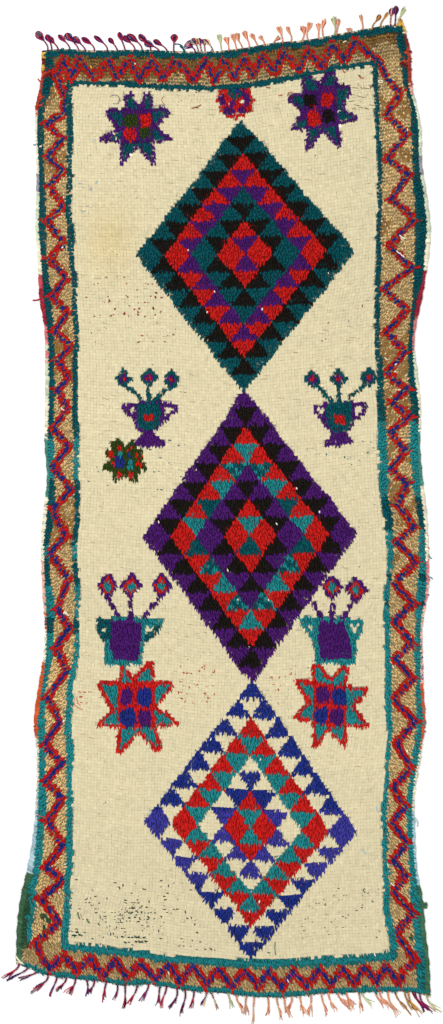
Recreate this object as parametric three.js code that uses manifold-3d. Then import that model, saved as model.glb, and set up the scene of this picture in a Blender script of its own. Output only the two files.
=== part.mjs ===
import * as THREE from 'three';
import { mergeVertices } from 'three/addons/utils/BufferGeometryUtils.js';
import Module from 'manifold-3d';

// A long hand-knotted wool rug, lying flat, with overcast sides and tasselled ends.
// Lengths are in millimetres. "across" runs from the middle line of the design to the right,
// "down" from the highest corner of the pile towards the bottom end.

const pileHeight = 12; // floor to the tips of the pile
const rimHeight = 7.5; // where the edge of the pile starts to round over
const rimRounding = 6; // how far in from the edge the rounding reaches
const lump = { height: 1.2, across: 97, down: 71, drift: 260 }; // uneven swell of the pile
const pieceGap = 0.3; // between the cloth and what is worked onto its edges

const pileCells = { across: 20, along: 60 };
const selvedgeSides = 8;
const selvedgeHeight = 9;

const weave = { width: 8, height: 3 }; // the flat-woven edge that holds the tassels
const strandSides = 4;
const strandTopShare = 0.6; // width of a strand's top against its foot

// The rug's sides from the highest corner down: the outer edges and the widths of the side cords.
const sideSections = [
  { down: 0, left: -690, leftCord: 18, right: 668, rightCord: 12 },
  { down: 95, left: -692, leftCord: 18, right: 690, rightCord: 14 },
  { down: 215, left: -697, leftCord: 12, right: 696, rightCord: 16 },
  { down: 290, left: -714, leftCord: 14, right: 713, rightCord: 10 },
  { down: 385, left: -717, leftCord: 10, right: 731, rightCord: 13 },
  { down: 515, left: -712, leftCord: 12, right: 734, rightCord: 14 },
  { down: 645, left: -713, leftCord: 15, right: 754, rightCord: 15 },
  { down: 750, left: -716, leftCord: 15, right: 766, rightCord: 18 },
  { down: 850, left: -709, leftCord: 17, right: 761, rightCord: 20 },
  { down: 945, left: -705, leftCord: 18, right: 746, rightCord: 13 },
  { down: 1030, left: -700, leftCord: 22, right: 732, rightCord: 22 },
  { down: 1115, left: -684, leftCord: 15, right: 713, rightCord: 14 },
  { down: 1190, left: -680, leftCord: 17, right: 705, rightCord: 10 },
  { down: 1300, left: -679, leftCord: 18, right: 718, rightCord: 17 },
  { down: 1435, left: -680, leftCord: 18, right: 730, rightCord: 11 },
  { down: 1565, left: -681, leftCord: 15, right: 726, rightCord: 10 },
  { down: 1695, left: -673, leftCord: 13, right: 737, rightCord: 17 },
  { down: 1825, left: -687, leftCord: 17, right: 752, rightCord: 16 },
  { down: 1940, left: -695, leftCord: 15, right: 758, rightCord: 15 },
  { down: 2110, left: -690, leftCord: 15, right: 757, rightCord: 12 },
  { down: 2240, left: -681, leftCord: 11, right: 736, rightCord: 10 },
  { down: 2350, left: -685, leftCord: 12, right: 736, rightCord: 10 },
  { down: 2485, left: -707, leftCord: 18, right: 740, rightCord: 16 },
  { down: 2605, left: -722, leftCord: 20, right: 746, rightCord: 13 },
  { down: 2725, left: -710, leftCord: 11, right: 729, rightCord: 10 },
  { down: 2875, left: -711, leftCord: 10, right: 707, rightCord: 11 },
  { down: 3045, left: -727, leftCord: 18, right: 709, rightCord: 14 },
  { down: 3165, left: -749, leftCord: 28, right: 717, rightCord: 12 },
  { down: 3270, left: -773, leftCord: 24, right: 737, rightCord: 18 },
  { down: 3385, left: -786, leftCord: 25, right: 747, rightCord: 24 },
  { down: 3505, left: -788, leftCord: 28, right: 761, rightCord: 20 },
  { down: 3635, left: -788, leftCord: 30, right: 766, rightCord: 26 },
];

// Where the woven cloth stops at each end, from the left corner to the right one.
const topEnd = [
  { across: -692, down: 94 },
  { across: -615, down: 88 },
  { across: -495, down: 93 },
  { across: -325, down: 91 },
  { across: -80, down: 98 },
  { across: 70, down: 84 },
  { across: 170, down: 66 },
  { across: 315, down: 52 },
  { across: 415, down: 32 },
  { across: 540, down: 10 },
  { across: 610, down: -2 },
  { across: 668, down: 0 },
];
const bottomEnd = [
  { across: -788, down: 3503 },
  { across: -730, down: 3523 },
  { across: -690, down: 3540 },
  { across: -575, down: 3558 },
  { across: -455, down: 3570 },
  { across: -400, down: 3583 },
  { across: -285, down: 3580 },
  { across: -150, down: 3602 },
  { across: -20, down: 3611 },
  { across: 110, down: 3626 },
  { across: 235, down: 3626 },
  { across: 360, down: 3614 },
  { across: 500, down: 3609 },
  { across: 700, down: 3608 },
  { across: 766, down: 3629 },
];

// Tassels in stretches, from the left: where the first and last are rooted, how far their ends
// lie to the right of their roots, and how far they reach out from the cloth.
const topTassels = [
  { from: -668, to: -626, count: 3, lean: -38, reach: 68 },
  { from: -586, to: -497, count: 4, lean: -40, reach: 60 },
  { from: -447, to: -312, count: 5, lean: -42, reach: 60 },
  { from: -285, to: -198, count: 4, lean: -30, reach: 56 },
  { from: -152, to: -88, count: 4, lean: -24, reach: 58 },
  { from: -54, to: -20, count: 2, lean: -12, reach: 58 },
  { from: 8, to: 142, count: 6, lean: -15, reach: 62 },
  { from: 172, to: 238, count: 3, lean: 2, reach: 58 },
  { from: 280, to: 412, count: 6, lean: 5, reach: 62 },
  { from: 445, to: 478, count: 2, lean: -3, reach: 20 },
  { from: 510, to: 510, count: 1, lean: -6, reach: 62 },
  { from: 547, to: 577, count: 2, lean: 26, reach: 56 },
  { from: 612, to: 650, count: 3, lean: 15, reach: 76 },
];
const bottomTassels = [
  { from: -776, to: -712, count: 3, lean: -60, reach: 54 },
  { from: -672, to: -566, count: 4, lean: -38, reach: 72 },
  { from: -527, to: -414, count: 4, lean: -12, reach: 76 },
  { from: -378, to: -77, count: 9, lean: -17, reach: 84 },
  { from: -50, to: 6, count: 2, lean: 20, reach: 66 },
  { from: 42, to: 235, count: 7, lean: 6, reach: 90 },
  { from: 277, to: 400, count: 5, lean: 13, reach: 80 },
  { from: 428, to: 600, count: 6, lean: 40, reach: 80 },
  { from: 634, to: 666, count: 2, lean: 58, reach: 88 },
  { from: 696, to: 750, count: 3, lean: 52, reach: 80 },
];

// A strand's half width and height from its root to its end: loops at the top end of the rug,
// frayed brushes at the bottom end.
const loopedStrand = [
  { at: 0, half: 2.6, height: 3.6 },
  { at: 0.55, half: 2.4, height: 3.8 },
  { at: 0.8, half: 7.5, height: 7 },
  { at: 1, half: 4.5, height: 4.5 },
];
const frayedStrand = [
  { at: 0, half: 2.5, height: 3.6 },
  { at: 0.45, half: 2.4, height: 3.8 },
  { at: 0.8, half: 6, height: 5 },
  { at: 1, half: 2.5, height: 2.4 },
];

const colours = {
  pile: 0xe2d3a9,
  selvedge: 0x8a6f52,
  topFringe: 0x84405a,
  bottomFringe: 0xb0705f,
};

const { lerp, seededRandom } = THREE.MathUtils;
const wasm = await Module();
wasm.setup();

// A smooth curve through a table's rows: a cubic between two rows, whose slope at each row is
// that of the straight line between the rows on either side of it.
function readTable(rows, key, column, at) {
  const last = rows.length - 1;
  const above = rows.findIndex((row) => row[key] > at);
  const start = THREE.MathUtils.clamp(above < 0 ? last - 1 : above - 1, 0, last - 1);
  const slope = (index) => {
    const before = rows[Math.max(index - 1, 0)];
    const after = rows[Math.min(index + 1, last)];
    return (after[column] - before[column]) / (after[key] - before[key]);
  };
  const span = rows[start + 1][key] - rows[start][key];
  const part = THREE.MathUtils.clamp((at - rows[start][key]) / span, 0, 1);
  const rest = 1 - part;
  return (
    rows[start][column] * rest * rest * (1 + 2 * part) +
    rows[start + 1][column] * part * part * (1 + 2 * rest) +
    slope(start) * span * part * rest * rest -
    slope(start + 1) * span * part * part * rest
  );
}

const side = (column, down) => readTable(sideSections, 'down', column, down);
const endDown = (end, across) => readTable(end, 'across', 'down', across);
const corner = (end, share) => lerp(end[0].across, end.at(-1).across, share);

// A place on the rug: share 0 is its left edge and 1 its right, along 0 its top end and 1 its
// bottom. The outer edges follow the side table, and each length runs between the two ends.
function sideDown(share, along) {
  const top = endDown(topEnd, corner(topEnd, share));
  const bottom = endDown(bottomEnd, corner(bottomEnd, share));
  return lerp(top, bottom, along);
}

function rugPoint(share, along) {
  const left = side('left', sideDown(0, along));
  const right = side('right', sideDown(1, along));
  return { x: lerp(left, right, share), y: -sideDown(share, along), width: right - left };
}

// The share of the rug's width at which the pile stops beside each cord.
function pileEdge(edge, along) {
  const { width } = rugPoint(0, along);
  if (edge === 'left') {
    return side('leftCord', sideDown(0, along)) / width;
  }
  return 1 - side('rightCord', sideDown(1, along)) / width;
}

// Moves every point of a geometry by a rule, and joins the points that its faces share.
function reshape(geometry, place) {
  geometry.deleteAttribute('normal');
  geometry.deleteAttribute('uv');
  const shaped = mergeVertices(geometry);
  const points = shaped.getAttribute('position');
  const point = new THREE.Vector3();
  for (let index = 0; index < points.count; index += 1) {
    point.fromBufferAttribute(points, index);
    const placed = place(point);
    points.setXYZ(index, placed.x, placed.y, placed.z);
  }
  return shaped;
}

// The pile is a flat-bottomed slab: upright at its rim, rounded over, with a gently lumpy top.
function makePile() {
  const block = new THREE.BoxGeometry(1, 1, 1, pileCells.across, pileCells.along, 2);
  return reshape(block, (point) => {
    const across = point.x + 0.5;
    const along = 0.5 - point.y;
    const left = pileEdge('left', along);
    const right = pileEdge('right', along);
    const placed = rugPoint(lerp(left, right, across), along);
    const isTop = point.z > 0.25;
    const inset = pieceGap / 2 + (isTop ? rimRounding : 0);
    const onSide = Math.abs(point.x) > 0.499 ? Math.sign(point.x) : 0;
    const onEnd = Math.abs(point.y) > 0.499 ? Math.sign(point.y) : 0;
    const swell = Math.sin(placed.x / lump.across + Math.sin(placed.y / lump.drift) * 2);
    const lumps = lump.height * swell * Math.cos(placed.y / lump.down);
    const top = pileHeight - lump.height + lumps - (onSide || onEnd ? 1 : 0);
    const levels = [0, rimHeight, top];
    return {
      x: placed.x - onSide * inset,
      y: placed.y - onEnd * inset,
      z: levels[Math.round(point.z * 2 + 1)],
    };
  });
}

// A side cord: a flat-bottomed rounded band between the outer edge and the edge of the pile.
function makeSelvedge(edge) {
  const turn = Math.PI / selvedgeSides;
  const flat = Math.cos(turn);
  const rod = new THREE.CylinderGeometry(1, 1, 1, selvedgeSides, pileCells.along, false, turn);
  return reshape(rod, (point) => {
    const along = 0.5 - point.y;
    const outer = rugPoint(edge === 'left' ? 0 : 1, along);
    const inner = rugPoint(pileEdge(edge, along), along);
    const inward = edge === 'left' ? 1 : -1;
    const innerX = inner.x - (inward * pieceGap) / 2;
    const atInner = THREE.MathUtils.clamp((point.x * inward) / flat / 2 + 0.5, 0, 1);
    const onEnd = Math.abs(point.y) > 0.499 ? Math.sign(point.y) : 0;
    return {
      x: lerp(outer.x, innerX, atInner),
      y: lerp(outer.y, inner.y, atInner) - (onEnd * pieceGap) / 2,
      z: (point.z / flat / 2 + 0.5) * selvedgeHeight,
    };
  });
}

// The flat-woven edge beyond an end of the cloth, in the same steps across as the pile and with
// one more under each side cord. outward is 1 at the top end, -1 at the bottom.
function makeWeave(outward) {
  const along = outward > 0 ? 0 : 1;
  const cells = pileCells.across + 2;
  const strip = new THREE.BoxGeometry(1, 1, 1, cells, 1, 1);
  return reshape(strip, (point) => {
    const step = Math.round((point.x + 0.5) * cells);
    const acrossPile = (step - 1) / pileCells.across;
    const share = lerp(pileEdge('left', along), pileEdge('right', along), acrossPile);
    const outer = { 0: 0, [cells]: 1 };
    const edge = rugPoint(outer[step] ?? share, along);
    const beyond = pieceGap / 2 + (point.y * outward + 0.5) * weave.width;
    return { x: edge.x, y: edge.y + outward * beyond, z: (point.z + 0.5) * weave.height };
  });
}

// One strand lies on the floor along a curve that leaves the weave straight and then leans over.
function makeStrand(end, outward, root, lean, reach, outline) {
  const cells = outline.length - 1;
  const startY = -endDown(end, root) + (outward * weave.width) / 2;
  const route = new THREE.CubicBezierCurve3(
    new THREE.Vector3(root, startY, 0),
    new THREE.Vector3(root - lean * 0.05, startY + outward * reach * 0.4, 0),
    new THREE.Vector3(root + lean * 0.55, startY + outward * reach * 0.6, 0),
    new THREE.Vector3(root + lean, startY + outward * reach, 0),
  );
  const turn = Math.PI / strandSides;
  const flat = Math.cos(turn);
  const rod = new THREE.CylinderGeometry(1, 1, 1, strandSides, cells, false, turn);
  return reshape(rod, (point) => {
    const step = Math.round((point.y + 0.5) * cells);
    const { at, half, height } = outline[step];
    const centre = route.getPoint(at);
    const tangent = route.getTangent(at);
    const level = point.z / flat / 2 + 0.5;
    const aside = (point.x / flat) * half * lerp(1, strandTopShare, level);
    return {
      x: centre.x + tangent.y * aside,
      y: centre.y - tangent.x * aside,
      z: level * height,
    };
  });
}

function solidOf(geometry) {
  const mesh = new wasm.Mesh({
    numProp: 3,
    vertProperties: Float32Array.from(geometry.getAttribute('position').array),
    triVerts: Uint32Array.from(geometry.getIndex().array),
  });
  return new wasm.Manifold(mesh);
}

function geometryOf(solid) {
  const mesh = solid.getMesh();
  const geometry = new THREE.BufferGeometry();
  geometry.setAttribute('position', new THREE.BufferAttribute(mesh.vertProperties, 3));
  geometry.setIndex(new THREE.BufferAttribute(mesh.triVerts, 1));
  return geometry;
}

// A fringe is the flat-woven edge with its strands grown together at their roots.
function makeFringe(end, outward, stretches, outline, seed) {
  let fringe = solidOf(makeWeave(outward));
  seededRandom(seed);
  for (const { from, to, count, lean, reach } of stretches) {
    for (let index = 0; index < count; index += 1) {
      const root = lerp(from, to, count > 1 ? index / (count - 1) : 0);
      const ownLean = lean + (seededRandom() - 0.5) * 8;
      const ownReach = reach * (0.9 + seededRandom() * 0.2);
      fringe = fringe.add(solidOf(makeStrand(end, outward, root, ownLean, ownReach, outline)));
    }
  }
  return geometryOf(fringe);
}

function addPiece(name, geometry, color, roughness) {
  const material = new THREE.MeshStandardMaterial({ color, roughness, metalness: 0 });
  const mesh = new THREE.Mesh(geometry, material);
  mesh.name = name;
  rug.add(mesh);
}

const rug = new THREE.Group();
addPiece('rug_pile', makePile(), colours.pile, 0.95);
addPiece('selvedge_left', makeSelvedge('left'), colours.selvedge, 0.9);
addPiece('selvedge_right', makeSelvedge('right'), colours.selvedge, 0.9);
addPiece('fringe_top', makeFringe(topEnd, 1, topTassels, loopedStrand, 3), colours.topFringe, 0.9);
addPiece(
  'fringe_bottom',
  makeFringe(bottomEnd, -1, bottomTassels, frayedStrand, 8),
  colours.bottomFringe,
  0.9,
);

// The origin is on the floor under the middle of the rug's outline, fringes included.
const middle = new THREE.Box3().setFromObject(rug).getCenter(new THREE.Vector3());
rug.position.set(-middle.x, -middle.y, 0);
rug.updateMatrixWorld(true);

export default rug;
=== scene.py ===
import math

import bpy
import numpy as np
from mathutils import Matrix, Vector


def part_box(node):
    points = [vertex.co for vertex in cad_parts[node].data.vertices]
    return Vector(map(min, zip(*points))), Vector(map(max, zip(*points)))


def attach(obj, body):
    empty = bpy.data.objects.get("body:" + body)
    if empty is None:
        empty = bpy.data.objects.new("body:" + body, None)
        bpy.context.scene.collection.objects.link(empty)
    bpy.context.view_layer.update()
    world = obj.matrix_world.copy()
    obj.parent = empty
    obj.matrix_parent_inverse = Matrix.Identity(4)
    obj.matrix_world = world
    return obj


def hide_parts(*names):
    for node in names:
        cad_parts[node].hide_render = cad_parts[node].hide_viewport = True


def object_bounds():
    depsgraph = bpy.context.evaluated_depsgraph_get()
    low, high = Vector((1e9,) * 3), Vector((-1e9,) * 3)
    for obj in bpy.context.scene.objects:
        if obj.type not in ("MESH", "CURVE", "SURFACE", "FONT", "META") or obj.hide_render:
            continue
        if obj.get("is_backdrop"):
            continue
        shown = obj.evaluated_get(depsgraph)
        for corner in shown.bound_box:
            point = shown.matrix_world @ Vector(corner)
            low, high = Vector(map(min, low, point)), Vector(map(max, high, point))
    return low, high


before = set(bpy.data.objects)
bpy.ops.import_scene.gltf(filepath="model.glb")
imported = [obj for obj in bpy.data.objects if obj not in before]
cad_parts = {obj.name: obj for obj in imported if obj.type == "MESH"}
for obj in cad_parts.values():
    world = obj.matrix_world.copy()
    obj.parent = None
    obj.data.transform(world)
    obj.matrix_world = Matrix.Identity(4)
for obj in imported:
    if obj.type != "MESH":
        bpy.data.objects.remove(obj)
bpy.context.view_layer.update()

# A long hand-knotted wool rug lying flat on a pale floor, seen from straight above.
# Its plan is worked out in millimetres: across to the right of the design's middle line, and
# down from the highest corner of the pile. Points become metres in the shared frame at the end.

rng = np.random.default_rng(11)


# Rows of numbers under named columns.
def table(names, *rows):
    return dict(zip(names.split(), np.array(rows, float).T))


# A smooth curve through a table's rows: a cubic between two rows, whose slope at each row is
# that of the straight line between the rows on either side of it.
def readTable(rows, key, column, at):
    keys, values = rows[key], rows[column]
    at = np.asarray(at, float)
    start = np.clip(np.searchsorted(keys, at, side="right") - 1, 0, len(keys) - 2)
    slopes = np.empty(len(keys))
    slopes[1:-1] = (values[2:] - values[:-2]) / (keys[2:] - keys[:-2])
    slopes[0] = (values[1] - values[0]) / (keys[1] - keys[0])
    slopes[-1] = (values[-1] - values[-2]) / (keys[-1] - keys[-2])
    span = keys[start + 1] - keys[start]
    part = np.clip((at - keys[start]) / span, 0, 1)
    rest = 1 - part
    return (
        values[start] * rest**2 * (1 + 2 * part)
        + values[start + 1] * part**2 * (1 + 2 * rest)
        + slopes[start] * span * part * rest**2
        - slopes[start + 1] * span * part**2 * rest
    )


# Part of the way from a to b.
def lerp(a, b, share):
    return a + (b - a) * share


# The rug's sides from the highest corner down: outer edges, and widths of the side cords.
sides = table(
    "down left leftCord right rightCord",
    [0, -690, 18, 668, 12], [95, -692, 18, 690, 14], [215, -697, 12, 696, 16],
    [290, -714, 14, 713, 10], [385, -717, 10, 731, 13], [515, -712, 12, 734, 14],
    [645, -713, 15, 754, 15], [750, -716, 15, 766, 18], [850, -709, 17, 761, 20],
    [945, -705, 18, 746, 13], [1030, -700, 22, 732, 22], [1115, -684, 15, 713, 14],
    [1190, -680, 17, 705, 10], [1300, -679, 18, 718, 17], [1435, -680, 18, 730, 11],
    [1565, -681, 15, 726, 10], [1695, -673, 13, 737, 17], [1825, -687, 17, 752, 16],
    [1940, -695, 15, 758, 15], [2110, -690, 15, 757, 12], [2240, -681, 11, 736, 10],
    [2350, -685, 12, 736, 10], [2485, -707, 18, 740, 16], [2605, -722, 20, 746, 13],
    [2725, -710, 11, 729, 10], [2875, -711, 10, 707, 11], [3045, -727, 18, 709, 14],
    [3165, -749, 28, 717, 12], [3270, -773, 24, 737, 18], [3385, -786, 25, 747, 24],
    [3505, -788, 28, 761, 20], [3635, -788, 30, 766, 26],
)

# Where the woven cloth stops at each end, from the left corner to the right one.
topEnd = table(
    "across down",
    [-692, 94], [-615, 88], [-495, 93], [-325, 91], [-80, 98], [70, 84], [170, 66], [315, 52],
    [415, 32], [540, 10], [610, -2], [668, 0],
)
bottomEnd = table(
    "across down",
    [-788, 3503], [-730, 3523], [-690, 3540], [-575, 3558], [-455, 3570], [-400, 3583],
    [-285, 3580], [-150, 3602], [-20, 3611], [110, 3626], [235, 3626], [360, 3614], [500, 3609],
    [700, 3608], [766, 3629],
)


# How far down a place lies: its length of the way from one end curve to the other.
def sideDown(share, along):
    ends = [
        readTable(end, "across", "down", lerp(end["across"][0], end["across"][-1], share))
        for end in (topEnd, bottomEnd)
    ]
    return lerp(ends[0], ends[1], along)


# A place on the rug: share 0 is its left edge and 1 its right, along 0 its top end and 1 its
# bottom. The outer edges follow the side table.
def rugPlace(share, along):
    left = readTable(sides, "down", "left", sideDown(0, along))
    right = readTable(sides, "down", "right", sideDown(1, along))
    return lerp(left, right, share), sideDown(share, along), right - left


# The share of the rug's width at which the pile stops beside each cord.
def pileEdge(edge, along):
    width = rugPlace(0, along)[2]
    if edge == "left":
        return readTable(sides, "down", "leftCord", sideDown(0, along)) / width
    return 1 - readTable(sides, "down", "rightCord", sideDown(1, along)) / width


# A place on the pile: share 0 and 1 are its own left and right edges.
def pilePlace(share, along):
    across, down, width = rugPlace(
        lerp(pileEdge("left", along), pileEdge("right", along), share), along
    )
    return across, down


# The shared frame's origin is under the middle of the outline: the solid pile tells where. The
# pile's outermost points bulge past its outline a little.
bulge = 0.15
edgeSteps = np.linspace(0, 1, 61)
pileLow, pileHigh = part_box("rug_pile")
shiftAcross = pileLow.x * 1000 - (pilePlace(0, edgeSteps)[0].min() + bulge)
shiftDown = pileHigh.y * 1000 + pilePlace(np.linspace(0, 1, 21), 0)[1].min() + bulge


# From across, down and height in millimetres to metres in the shared frame.
def toFrame(across, down, height):
    return np.stack([across + shiftAcross, shiftDown - down, height], -1) / 1000


# The yarns' colours as the eye sees them, 0 to 255.
yarns = {
    "ivory": (206, 195, 160),
    "teal": (11, 79, 86),
    "turquoise": (34, 129, 132),
    "red": (192, 31, 27),
    "purple": (74, 28, 104),
    "black": (28, 24, 20),
    "blue": (33, 48, 126),
    "violetBlue": (60, 58, 146),
    "tan": (178, 151, 104),
    "brown": (136, 98, 51),
    "green": (46, 66, 24),
    "palest": (240, 232, 210),
    "darkRed": (118, 24, 28),
    "brick": (196, 72, 52),
    "bottle": (50, 86, 60),
    "orange": (205, 88, 40),
    "gold": (218, 172, 70),
    "rose": (200, 120, 120),
}
yarnNames = list(yarns)


# From screen levels to amounts of light, by the screen's own curve.
def toLinear(colour):
    value = np.asarray(colour, float) / 255
    return np.where(value < 0.04045, value / 12.92, ((value + 0.055) / 1.055) ** 2.4)


yarnColours = toLinear([yarns[name] for name in yarnNames])

# The design is a chart of knots, two legs of yarn to each, in rows down the rug.
knots = {"legsAcross": 234, "rows": 286, "waver": 1.8, "strayAcross": 1.4, "strayDown": 3.0}

legShare, legAlong = np.meshgrid(
    (np.arange(knots["legsAcross"]) + 0.5) / knots["legsAcross"],
    (np.arange(knots["rows"]) + 0.5) / knots["rows"],
)
legAcross, legDown = pilePlace(legShare, legAlong)

# No leg stands quite in line, and the weaver's hand wavers along and down the design.
legAcross = legAcross + rng.normal(0, knots["strayAcross"], legAcross.shape)
legDown = legDown + rng.normal(0, knots["strayDown"], legDown.shape)
swing = np.sin(legDown / 31 + 2 * np.sin(legAcross / 83)) + np.sin(legAcross / 27 + legDown / 61)
readAcross = legAcross + knots["waver"] * swing
readDown = legDown + knots["waver"] * np.cos(legAcross / 37 + legDown / 53)
chart = np.full(legAcross.shape, yarnNames.index("ivory"))


# Knots a yarn into the chart wherever the first argument is true.
def knot(where, yarn):
    chart[where] = yarnNames.index(yarn)


# Where the chart holds any of the yarns.
def holds(*names):
    return np.isin(chart, [yarnNames.index(name) for name in names])


# Where the design lies between four straight edges.
def zone(left, right, top, bottom):
    return (readAcross > left) & (readAcross < right) & (readDown > top) & (readDown < bottom)


# Even-odd rule: a place is inside where a line to its right crosses the corners' outline an
# odd number of times.
def inside(across, down, corners):
    found = np.zeros(across.shape, bool)
    for (a1, d1), (a2, d2) in zip(corners, corners[1:] + corners[:1]):
        if d1 != d2:
            crosses = (d1 > down) != (d2 > down)
            found ^= crosses & (across < (a2 - a1) * (down - d1) / (d2 - d1) + a1)
    return found


# The distance to the nearest of the straight lines that join the points.
def lineGap(across, down, points):
    nearest = np.full(across.shape, 1e9)
    for (a1, d1), (a2, d2) in zip(points, points[1:]):
        length = (a2 - a1) ** 2 + (d2 - d1) ** 2
        part = ((across - a1) * (a2 - a1) + (down - d1) * (d2 - d1)) / max(length, 1e-6)
        part = np.clip(part, 0, 1)
        gap = np.hypot(across - a1 - part * (a2 - a1), down - d1 - part * (d2 - d1))
        nearest = np.minimum(nearest, gap)
    return nearest


# Diamonds of eight rows of triangles to each half. From a half's tip, u and v run along its two
# edges in triangle sides. A triangle stands up where their fractions add up to less than 1, and
# its ring is the smaller of their whole parts.
medallions = [
    {
        "corners": [(56, 345), (-337, 855), (480, 836), (64, 1365)],
        "standing": ["teal", "red", "teal", "red"],
        "hanging": ["black", "purple", "black", "purple"],
    },
    {
        "corners": [(66, 1354), (-311, 1909), (487, 1894), (94, 2460)],
        "standing": ["purple", "red", "purple", "red"],
        "hanging": ["black", "mixed", "black", "mixed"],
    },
    {
        "corners": [(94, 2448), (-306, 2974), (484, 3017), (94, 3491)],
        "standing": ["blue", "red", "ivory", "red"],
        "hanging": ["ivory", "turquoise", "blue", "turquoise"],
    },
]
triangleRows = 8


def knotMedallion(corners, standing, hanging):
    top, left, right, bottom = corners
    for tip, isUpper in ((top, True), (bottom, False)):
        a1, d1 = left[0] - tip[0], left[1] - tip[1]
        a2, d2 = right[0] - tip[0], right[1] - tip[1]
        a, d = readAcross - tip[0], readDown - tip[1]
        size = a1 * d2 - a2 * d1
        u = (a * d2 - a2 * d) / size * triangleRows
        v = (a1 * d - a * d1) / size * triangleRows
        within = (u >= 0) & (v >= 0) & (u + v <= triangleRows)
        ring = np.clip(np.minimum(u, v).astype(int), 0, 3)
        stands = (u % 1) + (v % 1) < 1
        row = np.floor(u).astype(int) + np.floor(v).astype(int) + ~stands
        for number in range(4):
            knot(within & stands & (ring == number), standing[number])
            hung = within & ~stands & (ring == number)
            if hanging[number] != "mixed":
                knot(hung, hanging[number])
                continue
            light = (row % 2 == 1) if isUpper else np.isin(row, (3, 5))
            part = (row == 4) | (row == 6) & (not isUpper)
            light = light ^ (part & (np.sin(readAcross / 9) * np.sin(readDown / 7) > 0.1))
            knot(hung & light, "turquoise")
            knot(hung & ~light, "teal")


for medallion in medallions:
    knotMedallion(**medallion)
third = medallions[2]["corners"]
knot(lineGap(readAcross, readDown, [third[0], third[2]]) < 5, "blue")
knot(holds("blue") & zone(-900, 900, 2930, 3200), "violetBlue")

# Eight-armed stars round a block of four squares. Each is given by its block's corners, the
# tips of its arms with the width they end in, the notches between arms, clockwise from the top
# left, and its squares: middle, half width, half height and yarn.
stars = [
    {
        "place": (-330, 373),
        "corners": [(-56, -70), (56, -73), (62, 58), (-69, 60)],
        "tips": [(-41, -127, 28), (38, -130, 32), (115, -62, 28), (127, 46, 8)]
        + [(56, 140, 14), (-66, 140, 16), (-145, 46, 8), (-118, -56, 22)],
        "notches": [(5, -80), (67, 0), (-1, 80), (-77, 6)],
        "rim": ("purple", 13),
        "arms": "teal",
        "squares": [(-29, -26, 28, 27, "green"), (28, -26, 22, 27, "red")]
        + [(-29, 27, 26, 25, "red"), (29, 24, 22, 20, "green")],
    },
    {
        "place": (353, 302),
        "corners": [(-65, -61), (62, -92), (72, 62), (-57, 83)],
        "tips": [(-57, -122, 34), (39, -136, 36), (116, -73, 26), (140, 44, 10)]
        + [(69, 147, 12), (-46, 156, 14), (-111, 81, 15), (-122, -38, 16)],
        "notches": [(-5, -92), (90, -5), (5, 89), (-69, 16)],
        "rim": ("purple", 14),
        "arms": "teal",
        "squares": [(-36, -28, 22, 24, "black"), (25, -32, 24, 27, "red")]
        + [(-25, 37, 26, 31, "red"), (31, 31, 25, 24, "black")],
    },
    {
        "place": (-341, 2542),
        "corners": [(-65, -92), (70, -91), (80, 80), (-65, 82)],
        "tips": [(-49, -155, 16), (59, -168, 16), (140, -88, 22), (160, 68, 12)]
        + [(88, 167, 22), (-60, 170, 18), (-148, 72, 10), (-138, -92, 24)],
        "notches": [(-9, -105), (83, -3), (10, 99), (-88, 15)],
        "rim": ("red", 13),
        "arms": "turquoise",
        "squares": [(-31, -37, 22, 31, "purple"), (32, -35, 28, 33, "blue")]
        + [(-29, 42, 29, 34, "blue"), (37, 42, 25, 32, "purple")],
    },
    {
        "place": (391, 2539),
        "corners": [(-62, -86), (59, -76), (61, 80), (-67, 67)],
        "tips": [(-57, -160, 24), (58, -144, 26), (136, -61, 16), (142, 80, 8)]
        + [(55, 155, 10), (-60, 154, 18), (-130, 46, 12), (-127, -98, 20)],
        "notches": [(-1, -104), (90, 2), (-7, 92), (-86, -14)],
        "rim": ("red", 13),
        "arms": "turquoise",
        "squares": [(-30, -42, 25, 31, "purple"), (32, -34, 29, 32, "blue")]
        + [(-38, 37, 25, 28, "blue"), (24, 39, 27, 31, "purple"), (30, -119, 7, 12, "orange")],
    },
    {
        "place": (-375, 1625),
        "corners": [(-48, -52), (44, -52), (46, 40), (-50, 40)],
        "tips": [(-44, -74, 26), (24, -80, 12), (66, -44, 20), (74, 26, 12)]
        + [(36, 76, 18), (-42, 76, 18), (-90, 22, 10), (-78, -32, 18)],
        "notches": [(-4, -56), (56, -6), (-6, 52), (-62, -8)],
        "rim": ("green", 80),
        "arms": "green",
        "squares": [(-24, -25, 11, 9, "turquoise"), (12, -23, 10, 7, "blue")]
        + [(-26, 2, 18, 19, "blue"), (16, 8, 13, 18, "turquoise"), (-25, -50, 8, 10, "red")]
        + [(16, -46, 11, 7, "red"), (-56, -28, 9, 10, "red"), (43, -27, 7, 11, "red")]
        + [(62, -30, 4, 8, "red"), (-52, 10, 8, 7, "red"), (49, 9, 12, 9, "red")]
        + [(-26, 45, 10, 12, "red"), (16, 47, 13, 11, "red")],
    },
]


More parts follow.
